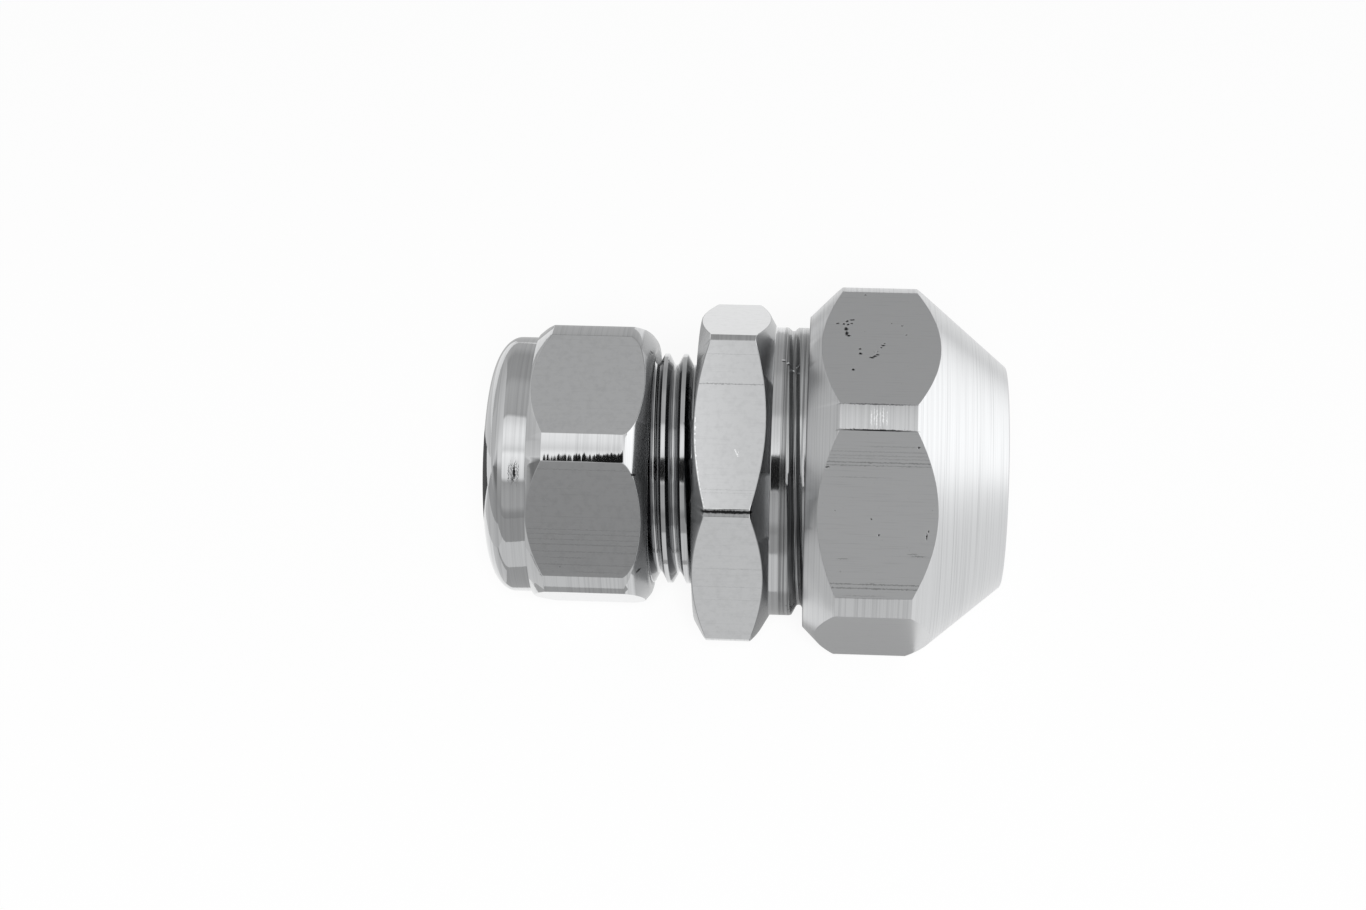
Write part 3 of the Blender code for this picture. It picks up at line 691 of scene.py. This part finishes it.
def fillet(profile, radius, segments=2):
    """Round the corners of a profile of radii and stations."""
    rounded = [profile[0]]
    for before, corner, after in zip(profile, profile[1:], profile[2:]):
        point = Vector(corner)
        back = Vector(before) - point
        ahead = Vector(after) - point
        angle = back.angle(ahead)
        if math.pi - angle < SMOOTH_CORNER:
            rounded.append(corner)
            continue
        reach = min(radius / math.tan(angle / 2.0), 0.45 * back.length, 0.45 * ahead.length)
        first = point + back.normalized() * reach
        last = point + ahead.normalized() * reach
        for step in range(segments + 1):
            share = step / segments
            near = first.lerp(point, share)
            far = point.lerp(last, share)
            rounded.append(tuple(near.lerp(far, share)))
    rounded.append(profile[-1])
    return rounded


def arc(center, radii, start, stop, count):
    """Points on an ellipse, given as radius and station, between two angles."""
    points = []
    for index in range(count + 1):
        angle = start + (stop - start) * index / count
        points.append((center[0] + radii[0] * math.cos(angle), center[1] + radii[1] * math.sin(angle)))
    return points


def weld(bm):
    """Merge points that lie on one another."""
    bmesh.ops.remove_doubles(bm, verts=bm.verts, dist=WELD)


def cut_away(bm, point, outward):
    """Cut a form by a plane, drop what lies outward, and give the cut."""
    geometry = bm.verts[:] + bm.edges[:] + bm.faces[:]
    return bmesh.ops.bisect_plane(bm, geom=geometry, dist=WELD, plane_co=point, plane_no=outward,
                                  clear_outer=True)["geom_cut"]


def turn_profile(bm, profile, rise=0.0):
    """Spin an open profile about the tube axis, with a rise each full turn."""
    chain = [bm.verts.new((radius, 0.0, station)) for radius, station in profile]
    edges = [bm.edges.new(pair) for pair in zip(chain, chain[1:])]
    bmesh.ops.spin(bm, geom=chain + edges, cent=(0.0, 0.0, 0.0), axis=(0.0, 0.0, 1.0),
                   dvec=(0.0, 0.0, rise / COLUMNS), angle=2.0 * math.pi, steps=COLUMNS,
                   use_merge=False)
    weld(bm)


def mill_flats(bm, flat, turn):
    """Mill six flats, give them the second material, and break their edges."""
    flats = []
    for side in range(6):
        angle = turn + side * math.pi / 3.0
        outward = Vector((math.cos(angle), math.sin(angle), 0.0))
        cut = cut_away(bm, outward * flat, outward)
        rim = [item for item in cut if isinstance(item, bmesh.types.BMVert)]
        rim.sort(key=lambda vert: tuple(vert.co))
        bmesh.ops.remove_doubles(bm, verts=rim, dist=FLAT_EDGE)
        edges = [edge for edge in bm.edges if edge.is_boundary
                 and all(abs(vert.co.dot(outward) - flat) < WELD for vert in edge.verts)]
        flats += bmesh.ops.edgeloop_fill(bm, edges=edges)["faces"]
    for face in flats:
        face.material_index = 1
    rims = list(dict.fromkeys(edge for face in flats for edge in face.edges))
    bmesh.ops.bevel(bm, geom=rims, offset=FLAT_EDGE, offset_type="OFFSET", segments=2, profile=0.5,
                    affect="EDGES", clamp_overlap=False, material=0)


def thread_form(thread, play):
    """Outline half a pitch of a Whitworth thread, from groove to ridge.

    Gives the distance from the groove's middle and the radius. A play above
    zero outlines the nut's thread, which lies outside the body's.
    """
    rounding = ROUNDING_IN_PITCHES * thread.pitch
    root = thread.major - DEPTH_IN_PITCHES * thread.pitch
    tangent = math.pi / 2.0 - FLANK_ANGLE
    half = thread.pitch / 2.0
    points = []
    for step in range(4):
        angle = tangent * step / 3.0
        points.append((rounding * math.sin(angle), root + rounding * (1.0 - math.cos(angle))))
    drop = thread.major - thread.crest
    crest_angle = math.acos((rounding - drop) / rounding) if play == 0.0 else 0.0
    foot = points[-1]
    head = (half - rounding * math.sin(tangent), thread.major - rounding * (1.0 - math.cos(tangent)))
    for step in range(1, FLANK_STEPS):
        share = step / FLANK_STEPS
        points.append((foot[0] + (head[0] - foot[0]) * share, foot[1] + (head[1] - foot[1]) * share))
    for step in range(3):
        angle = tangent + (crest_angle - tangent) * step / 2.0
        points.append((half - rounding * math.sin(angle),
                       thread.major - rounding * (1.0 - math.cos(angle))))
    if play == 0.0:
        points.append((half, thread.crest))
    return [(across, radius + play) for across, radius in points]


def groove_middle(thread, position):
    """Find the station of the groove's middle nearest to a point."""
    turn = math.atan2(position.y, position.x) / (2.0 * math.pi)
    count = round((position.z - thread.groove) / thread.pitch - turn)
    return thread.groove + (count + turn) * thread.pitch


def settle_rims(skin, low, high):
    """Level the rims, and merge their points between two columns into a neighbour."""
    for vert in skin.verts:
        if vert.is_boundary:
            vert.co.z = low if vert.co.z < (low + high) / 2.0 else high
    column = 2.0 * math.pi / COLUMNS
    strays = []
    for vert in skin.verts:
        place = math.atan2(vert.co.y, vert.co.x) / column
        if vert.is_boundary and abs(place - round(place)) > 0.001:
            strays.append(vert)
    for vert in strays:
        if not vert.is_valid:
            continue
        rim = [edge.other_vert(vert) for edge in vert.link_edges if edge.is_boundary]
        nearest = min(rim, key=lambda other: (other.co - vert.co).length)
        bmesh.ops.pointmerge(skin, verts=[vert, nearest], merge_co=nearest.co.copy())


def thread_skin(bm, thread, low, high, play, limit, kept, material_index):
    """Cut a thread's surface between two stations.

    The limit is the radius that a station's surface stays within, or beyond
    in a nut. The last function gives the share of the groove that is left
    where the groove's middle and the point are at two stations.
    """
    form = thread_form(thread, play)
    root = form[0][1]
    outline = [(radius, across) for across, radius in form]
    outline += [(radius, thread.pitch - across) for across, radius in form[-2:0:-1]]
    first = math.floor((low - thread.groove) / thread.pitch) - 2
    last = math.ceil((high - thread.groove) / thread.pitch) + 1
    profile = [(radius, thread.groove + count * thread.pitch + across)
               for count in range(first, last) for radius, across in outline]
    skin = bmesh.new()
    turn_profile(skin, profile, thread.pitch)
    for station, outward in ((low, -1.0), (high, 1.0)):
        cut_away(skin, (0.0, 0.0, station), (0.0, 0.0, outward))
    settle_rims(skin, low, high)
    for vert in skin.verts:
        radius = vert.co.xy.length
        if play == 0.0:
            share = kept(groove_middle(thread, vert.co), vert.co.z)
            left = (1.0 - share) * (thread.crest - root)
            radius = min(radius + left, thread.crest, limit(vert.co.z))
        else:
            radius = max(radius, limit(vert.co.z))
        vert.co.xy = vert.co.xy.normalized() * radius
    for face in skin.faces:
        face.material_index = material_index
    mesh = make_mesh("thread skin", skin, ())
    bm.from_mesh(mesh)
    bpy.data.meshes.remove(mesh)


def close_gap(bm, station, turned_radius):
    """Draw the thread's open rim at a station onto the turned rim of a radius."""
    rims = [edge for edge in bm.edges if edge.is_boundary
            and all(abs(vert.co.z - station) < 2.0 * WELD for vert in edge.verts)]
    turned = [edge for edge in rims
              if all(abs(vert.co.xy.length - turned_radius) < RIM_MATCH for vert in edge.verts)]
    cut = [edge for edge in rims if edge not in turned]
    posts = [vert for edge in turned for vert in edge.verts]
    drawn = bmesh.ops.extrude_edge_only(bm, edges=cut)["geom"]
    for item in drawn:
        if isinstance(item, bmesh.types.BMVert):
            nearest = max(posts, key=lambda post: post.co.xy.dot(item.co.xy))
            item.co = nearest.co
    weld(bm)


def add_object(name, data):
    """Put a new object in the scene."""
    item = bpy.data.objects.new(name, data)
    bpy.context.scene.collection.objects.link(item)
    return item


def make_mesh(name, bm, materials):
    """Turn a finished form into a mesh with its materials."""
    mesh = bpy.data.meshes.new(name)
    bm.to_mesh(mesh)
    bm.free()
    for material in materials:
        mesh.materials.append(material)
    return mesh


def add_piece(name, bm, materials, body, stands_for):
    """Put a finished piece in the frame, riding on its body."""
    weld(bm)
    bmesh.ops.dissolve_degenerate(bm, edges=bm.edges, dist=WELD / 2.0)
    bmesh.ops.recalc_face_normals(bm, faces=bm.faces)
    if bm.calc_volume(signed=True) < 0.0:
        bmesh.ops.reverse_faces(bm, faces=bm.faces)
    bmesh.ops.transform(bm, matrix=TO_FRAME, verts=bm.verts)
    for face in bm.faces:
        face.smooth = face.material_index != 1
    mesh = make_mesh(name, bm, materials)
    mesh.set_sharp_from_angle(angle=SHARP_CORNER)
    piece = add_object(name, mesh)
    true_faces = piece.modifiers.new("true_faces", "WEIGHTED_NORMAL")
    true_faces.keep_sharp = True
    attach(piece, body)
    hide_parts(stands_for)


def thread_ends(thread, end, shank, runout):
    """Give a thread's limit and the share of its groove that is left.

    The thread is chamfered at its end and runs out towards its shank.
    """
    full, gone = runout

    def limit(station):
        return thread.crest - max(THREAD_CHAMFER - abs(station - end), 0.0)

    def kept(middle, station):
        return min(max((gone - middle) / (gone - full), 0.0), 1.0, abs(station - shank) / RUNOUT_END)

    return limit, kept


def add_body(materials):
    """Make the union's body: two threaded ends, a hexagon and a bore."""
    bm = bmesh.new()
    slope = math.tan(BODY_CHAMFER)
    outside = [(LARGE_THREAD.crest, LARGE_LAND),
               (LARGE_THREAD.crest, BODY_HEX_HIGH + (BODY_CORNER - LARGE_THREAD.crest) * slope),
               (BODY_CORNER, BODY_HEX_HIGH),
               (BODY_CORNER, BODY_HEX_LOW + (BODY_CORNER - BODY_FACE_RADIUS) * slope),
               (BODY_FACE_RADIUS, BODY_HEX_LOW),
               (SMALL_THREAD.crest, BODY_HEX_LOW),
               (SMALL_THREAD.crest, SMALL_SHANK)]
    turn_profile(bm, fillet(outside, TURNED_EDGE))
    mill_flats(bm, BODY_FLAT, BODY_TURN)
    large_lip = LARGE_TUBE_RADIUS + LARGE_MOUTH_DEPTH * math.tan(MOUTH_ANGLE)
    small_lip = SMALL_TUBE_RADIUS + SMALL_MOUTH_DEPTH * math.tan(MOUTH_ANGLE)
    bore = [(large_lip + LIP, LARGE_THREAD_END),
            (large_lip, LARGE_THREAD_END),
            (LARGE_TUBE_RADIUS, LARGE_THREAD_END - LARGE_MOUTH_DEPTH),
            (LARGE_TUBE_RADIUS, LARGE_TUBE_STOP),
            (WATERWAY_RADIUS, LARGE_TUBE_STOP),
            (WATERWAY_RADIUS, SMALL_TUBE_STOP),
            (SMALL_TUBE_RADIUS, SMALL_TUBE_STOP),
            (SMALL_TUBE_RADIUS, SMALL_THREAD_END + SMALL_MOUTH_DEPTH),
            (small_lip, SMALL_THREAD_END),
            (small_lip + LIP, SMALL_THREAD_END)]
    turn_profile(bm, fillet(bore, TURNED_EDGE))
    for thread, end, shank, runout, index in (
            (SMALL_THREAD, SMALL_THREAD_END, SMALL_SHANK, SMALL_RUNOUT, 2),
            (LARGE_THREAD, LARGE_THREAD_END, LARGE_LAND, LARGE_RUNOUT, 3)):
        limit, kept = thread_ends(thread, end, shank, runout)
        thread_skin(bm, thread, min(end, shank), max(end, shank), 0.0, limit, kept, index)
    weld(bm)
    close_gap(bm, SMALL_THREAD_END, small_lip + LIP)
    close_gap(bm, LARGE_THREAD_END, large_lip + LIP)
    add_piece("body_chrome", bm, materials, "fitting_body", "union_body")


def nut_bore(side, thread, thread_end, outer_end, ring_outer, tube_radius):
    """Outline a nut's bore from its relief groove to its outer end."""
    bore = tube_radius + BORE_PLAY
    relief = thread.major + THREAD_PLAY + RELIEF_STEP
    shoulder = thread_end + side * SHOULDER_GAP
    wall = RING_END_WALL + tube_radius - bore
    cone_end = ring_outer + side * (SEAT_GAP / math.sin(MOUTH_ANGLE) + wall / math.tan(MOUTH_ANGLE))
    cone_start = bore + abs(cone_end - shoulder) * math.tan(MOUTH_ANGLE)
    return [(relief, shoulder - side * RELIEF_LENGTH),
            (relief, shoulder),
            (cone_start, shoulder),
            (bore, cone_end),
            (bore, outer_end - side * BORE_EDGE),
            (bore + BORE_EDGE, outer_end)]


def add_nut_thread(bm, side, thread, thread_end, inner_end):
    """Cut a nut's thread between its countersink and its relief groove."""
    sink = thread.major + THREAD_PLAY + SINK_STEP
    sink_radius = thread.major + THREAD_PLAY + RELIEF_STEP
    relief_start = thread_end + side * (SHOULDER_GAP - RELIEF_LENGTH)

    def limit(station):
        return sink - side * (station - inner_end)

    thread_skin(bm, thread, min(inner_end, relief_start), max(inner_end, relief_start), THREAD_PLAY,
                limit, None, 0)
    weld(bm)
    close_gap(bm, relief_start, sink_radius)


def add_small_nut(materials):
    """Make the small nut: rounded hexagon edge, collar and dome."""
    bm = bmesh.new()
    broad, tight = SMALL_NUT_EDGE_RADII
    first, middle, last = SMALL_NUT_EDGE_TURNS
    broad_center = (SMALL_NUT_CORNER - broad * math.cos(first),
                    SMALL_NUT_HEX_INNER - broad * math.sin(first))
    tight_center = (SMALL_NUT_END_RADIUS, SMALL_NUT_INNER_END - tight)
    dome_center = (COLLAR_END_RADIUS, SMALL_NUT_OUTER_END + COLLAR_DOME)
    dome_radii = (COLLAR_RADIUS - COLLAR_END_RADIUS, COLLAR_DOME)
    ring_outer = SMALL_RING_INNER - SMALL_RING_LENGTH
    profile = nut_bore(-1, SMALL_THREAD, SMALL_THREAD_END, SMALL_NUT_OUTER_END, ring_outer,
                       SMALL_TUBE_RADIUS)
    profile += arc(dome_center, dome_radii, -math.pi / 2.0, 0.0, 20)
    profile += [(COLLAR_RADIUS, SMALL_NUT_HEX_FACE),
                (SMALL_NUT_FACE_RADIUS, SMALL_NUT_HEX_FACE),
                (SMALL_NUT_CORNER, SMALL_NUT_HEX_OUTER)]
    profile += arc(broad_center, (broad, broad), first, middle, 8)
    profile += arc(tight_center, (tight, tight), last, math.pi / 2.0, 6)
    profile += [(SMALL_THREAD.major + THREAD_PLAY + SINK_STEP, SMALL_NUT_INNER_END)]
    turn_profile(bm, fillet(profile, TURNED_EDGE))
    mill_flats(bm, SMALL_NUT_FLAT, SMALL_NUT_TURN)
    add_nut_thread(bm, -1, SMALL_THREAD, SMALL_THREAD_END, SMALL_NUT_INNER_END)
    add_piece("small_nut_chrome", bm, materials, "small_nut_body", "small_nut")


def add_large_nut(materials):
    """Make the large nut: short chamfer, hexagon and long cone."""
    bm = bmesh.new()
    cone = math.atan2(LARGE_NUT_CORNER - LARGE_NUT_END_RADIUS, LARGE_NUT_OUTER_END - LARGE_NUT_HEX_OUTER)
    setback = LARGE_NUT_ROUNDING * math.tan((math.pi / 2.0 - cone) / 2.0)
    round_center = (LARGE_NUT_END_RADIUS - setback, LARGE_NUT_OUTER_END - LARGE_NUT_ROUNDING)
    rounding = (LARGE_NUT_ROUNDING, LARGE_NUT_ROUNDING)
    ring_outer = LARGE_RING_INNER + LARGE_RING_LENGTH
    profile = nut_bore(1, LARGE_THREAD, LARGE_THREAD_END, LARGE_NUT_OUTER_END, ring_outer,
                       LARGE_TUBE_RADIUS)
    profile += arc(round_center, rounding, math.pi / 2.0, math.pi / 2.0 - cone, 6)
    profile += [(LARGE_NUT_CORNER, LARGE_NUT_HEX_OUTER),
                (LARGE_NUT_CORNER, LARGE_NUT_HEX_INNER),
                (LARGE_NUT_FACE_RADIUS, LARGE_NUT_INNER_END),
                (LARGE_THREAD.major + THREAD_PLAY + SINK_STEP, LARGE_NUT_INNER_END)]
    turn_profile(bm, fillet(profile, TURNED_EDGE))
    mill_flats(bm, LARGE_NUT_FLAT, LARGE_NUT_TURN)
    add_nut_thread(bm, 1, LARGE_THREAD, LARGE_THREAD_END, LARGE_NUT_INNER_END)
    add_piece("large_nut_chrome", bm, materials, "large_nut_body", "large_nut")


def add_ring(name, low, high, tube_radius, ring_wall, materials, body, stands_for):
    """Turn a compression ring: two cones and a crown round a plain bore."""
    crown = tube_radius + ring_wall
    end = tube_radius + RING_END_WALL
    taper = (crown - end) / math.tan(MOUTH_ANGLE)
    middle = (low + high) / 2.0
    profile = [(tube_radius, middle), (tube_radius, low), (end, low), (crown, low + taper),
               (crown, high - taper), (end, high), (tube_radius, high), (tube_radius, middle)]
    bm = bmesh.new()
    turn_profile(bm, fillet(profile, TURNED_EDGE))
    add_piece(name, bm, materials, body, stands_for)


def angle_ramp(tree, share, ramp):
    """Give a brightness by stops of angle, from a share of the full turn."""
    stops = [((degrees + 180.0) / 360.0, level / BRIGHTEST) for degrees, level in ramp]
    return level_ramp(tree, share, stops)


def glow_material(name, ramp, small_ramp=None):
    """Make a cloth that is lit evenly, by stops of angle and brightness.

    The angle is about the tube axis, from level behind the union over its top.
    The cloth at the sides turns to other stops towards the small end, and has
    a dark opening for the lens.
    """
    material, tree = new_material(name)
    material.cycles.emission_sampling = "NONE"
    tree.nodes.clear()
    place = add_node(tree, "TexCoord")
    parts = add_node(tree, "SeparateXYZ", {"Vector": place.outputs["Object"]})
    angle = add_node(tree, "Math", {0: parts.outputs["Z"], 1: parts.outputs["Y"]}, operation="ARCTAN2")
    share = add_node(tree, "MapRange",
                     {"From Min": -math.pi, "From Max": math.pi, "Value": angle.outputs[0]})
    color = angle_ramp(tree, share.outputs[0], ramp)
    if small_ramp:
        toward = add_node(tree, "MapRange",
                          {"From Min": TENT_SMALL_REACH[0], "From Max": TENT_SMALL_REACH[1],
                           "Value": parts.outputs["X"]})
        color = add_node(tree, "Mix",
                         {0: toward.outputs[0], 6: color,
                          7: angle_ramp(tree, share.outputs[0], small_ramp)}, data_type="RGBA").outputs[2]
        away = add_node(tree, "VectorMath", {0: place.outputs["Object"], 1: LENS_CENTRE},
                        operation="DISTANCE")
        dark = add_node(tree, "MapRange",
                        {"From Min": LENS_RADIUS, "From Max": LENS_RADIUS - LENS_EDGE,
                         "Value": away.outputs["Value"]})
        color = add_node(tree, "Mix", {0: dark.outputs[0], 6: color, 7: LENS_BLACK},
                         data_type="RGBA").outputs[2]
    light = add_node(tree, "Emission", {"Strength": BRIGHTEST, "Color": color})
    add_node(tree, "OutputMaterial", {"Surface": light.outputs[0]})
    return material


def add_tent():
    """Put a light tent round the union, which only its metal mirrors."""
    bm = bmesh.new()
    outline = [(0.0, -TENT_HALF), (TENT_CENTRE, -TENT_HALF), (TENT_RADIUS, -TENT_HALF),
               (TENT_RADIUS, -TENT_END), (TENT_RADIUS, TENT_END), (TENT_RADIUS, TENT_HALF),
               (0.0, TENT_HALF)]
    chain = [bm.verts.new((along, radius, 0.0)) for radius, along in outline]
    edges = [bm.edges.new(pair) for pair in zip(chain, chain[1:])]
    bmesh.ops.spin(bm, geom=chain + edges, cent=(0.0, 0.0, 0.0), axis=(1.0, 0.0, 0.0),
                   dvec=(0.0, 0.0, 0.0), angle=2.0 * math.pi, steps=96, use_merge=True)
    bmesh.ops.remove_doubles(bm, verts=bm.verts, dist=MM)
    for face in bm.faces:
        middle = face.calc_center_median()
        face.material_index = 0 if abs(middle.x) < TENT_END else 1 if middle.x > 0.0 else 2
        if middle.x < -TENT_END and middle.yz.length < TENT_CENTRE:
            face.material_index = 3
    cloths = (glow_material("tent cloth round the union", TENT_SIDES, TENT_SMALL_SIDES),
              glow_material("tent cloth past the large end", TENT_LARGE_END),
              glow_material("tent cloth past the small end", TENT_SMALL_END),
              glow_material("tent opening past the small end", TENT_SMALL_CENTRE))
    show_in_metal_only("light_tent", bm, cloths)


def show_in_metal_only(name, bm, materials):
    """Put a card or cloth on the stage, where only the metal mirrors it."""
    item = add_object(name, make_mesh(name, bm, materials))
    item.visible_camera = False
    item.visible_diffuse = False
    item.visible_transmission = False
    item.visible_shadow = False


def add_card(name, low, high, front, back, level):
    """Lay a card on the board, between two stations and from front to back."""
    bm = bmesh.new()
    low, high, front, back = (edge * MM for edge in (low, high, front, back))
    bmesh.ops.create_grid(bm, x_segments=1, y_segments=1, size=0.5)
    bmesh.ops.scale(bm, verts=bm.verts, vec=(high - low, back - front, 1.0))
    bmesh.ops.translate(bm, verts=bm.verts, vec=((low + high) / 2.0, (back + front) / 2.0, CARD_HEIGHT))
    cloth = glow_material(name + " cloth", ((-180.0, level), (180.0, level)))
    show_in_metal_only(name, bm, (cloth,))


def floor_material():
    """Matt white board, with a glow of white that only the lens and the metal see."""
    material, tree = new_material("matt white board")
    material.cycles.emission_sampling = "NONE"
    shader = tree.nodes["Principled BSDF"]
    shader.inputs["Base Color"].default_value = linear("#F4F4F4")
    shader.inputs["Roughness"].default_value = 1.0
    shader.inputs["Specular IOR Level"].default_value = 0.0
    rays = add_node(tree, "LightPath")
    seen = most(tree, [rays.outputs["Is Camera Ray"], rays.outputs["Is Glossy Ray"],
                       rays.outputs["Is Transmission Ray"]])
    share = add_node(tree, "Math", {0: seen, 1: FLOOR_GLOW}, operation="MULTIPLY")
    glow = add_node(tree, "Emission", {"Color": linear("#FFFFFF"), "Strength": 1.0})
    blend = add_node(tree, "MixShader", {0: share.outputs[0], 1: shader.outputs[0], 2: glow.outputs[0]})
    tree.links.new(blend.outputs[0], tree.nodes["Material Output"].inputs["Surface"])
    return material


def add_floor():
    """Lay a round white board under the union."""
    bm = bmesh.new()
    bmesh.ops.create_circle(bm, cap_ends=True, segments=96, radius=FLOOR_RADIUS)
    bmesh.ops.translate(bm, verts=bm.verts, vec=(0.0, FLOOR_BACK, 0.0))
    add_object("floor", make_mesh("floor", bm, (floor_material(),)))


def add_world():
    """Light everything with a plain white surround."""
    world = bpy.data.worlds.new("white surround")
    world.use_nodes = True
    world.cycles.sampling_method = "NONE"
    tree = world.node_tree
    tree.nodes.clear()
    rays = add_node(tree, "LightPath")
    level = add_node(tree, "MapRange",
                     {"To Min": 1.0, "To Max": SURROUND_LIGHT, "Value": rays.outputs["Is Diffuse Ray"]})
    light = add_node(tree, "Background", {"Color": linear("#FFFFFF"), "Strength": level.outputs[0]})
    add_node(tree, "OutputWorld", {"Surface": light.outputs[0]})
    bpy.context.scene.world = world


def camera_axes():
    """Work out the camera's right, up and back directions from its fitted pose."""
    yaw, roll, rise = CAMERA_YAW, CAMERA_ROLL, CAMERA_RISE
    along = Vector((math.cos(yaw) * math.cos(roll), -math.cos(yaw) * math.sin(roll), math.sin(yaw)))
    towards = (Vector((0.0, 0.0, 1.0)) - along * along.z).normalized()
    above = towards.cross(along)
    frame_axes = (Vector((1.0, 0.0, 0.0)), Vector((0.0, -math.cos(rise), math.sin(rise))),
                  Vector((0.0, math.sin(rise), math.cos(rise))))
    axes = []
    for index in range(3):
        parts = (along[index], towards[index], above[index])
        axes.append(sum((axis * part for axis, part in zip(frame_axes, parts)), Vector()))
    return axes


def add_camera_and_lamp():
    """Place the camera at the photograph's angle, and a soft lamp beside it."""
    right, up, back = camera_axes()
    data = bpy.data.cameras.new("camera")
    data.sensor_fit = "HORIZONTAL"
    data.sensor_width = 36.0
    data.lens = LENS
    data.clip_start = 0.01
    camera = add_object("camera", data)
    target = Vector((AXIS_ORIGIN, 0.0, AXIS_HEIGHT)) + up * CAMERA_LIFT
    turn = Matrix((right, up, back)).transposed().to_4x4()
    camera.matrix_world = Matrix.Translation(target + back * CAMERA_DISTANCE) @ turn
    bpy.context.scene.camera = camera

    lamp_data = bpy.data.lights.new("softbox", "AREA")
    lamp_data.shape = "DISK"
    lamp_data.size = LAMP_SIZE
    lamp_data.energy = LAMP_POWER
    lamp = add_object("softbox", lamp_data)
    lamp.matrix_world = Matrix.Translation(target + back * LAMP_DISTANCE) @ turn
    lamp.visible_camera = False
    lamp.visible_glossy = False
    lamp.visible_transmission = False


add_camera_and_lamp()
add_world()
add_floor()
add_tent()
for card, place in FLOOR_CARDS.items():
    add_card(card, *place)

add_body((
    polished_chrome_turned("polished chrome on the turned body", BODY_SHADED, BODY_TURNED_MARKS,
                           0.0004 * MM, 0.015),
    polished_chrome_drawn("polished chrome on the flats of the body", BODY_FLAT_MARKS),
    polished_chrome_thread("polished chrome in the small thread", SMALL_THREAD, CHROME_PAINTED_SHADE, SMALL_SCORES_AND_SHADE, ()),
    polished_chrome_thread("polished chrome in the large thread", LARGE_THREAD, CHROME_DULL_AND_SHADE, LARGE_SCORES_AND_SHADE,
                           LARGE_THREAD_MARKS)))
add_small_nut((
    polished_chrome_turned("polished chrome on the turned small nut", SMALL_NUT_SHADED,
                           SMALL_NUT_TURNED_MARKS, 0.0003 * MM, 0.02),
    polished_chrome_drawn("polished chrome on the flats of the small nut", SMALL_NUT_FLAT_MARKS)))
add_large_nut((satin_chrome_turned(LARGE_NUT_TURNED_MARKS), satin_chrome_drawn(LARGE_NUT_FLAT_MARKS)))
brass = (turned_brass(),)
add_ring("small_ring_brass", SMALL_RING_INNER - SMALL_RING_LENGTH, SMALL_RING_INNER, SMALL_TUBE_RADIUS,
         SMALL_RING_WALL, brass, "small_ring_body", "small_ring")
add_ring("large_ring_brass", LARGE_RING_INNER, LARGE_RING_INNER + LARGE_RING_LENGTH, LARGE_TUBE_RADIUS,
         LARGE_RING_WALL, brass, "large_ring_body", "large_ring")

bpy.context.scene.view_settings.view_transform = "Standard"
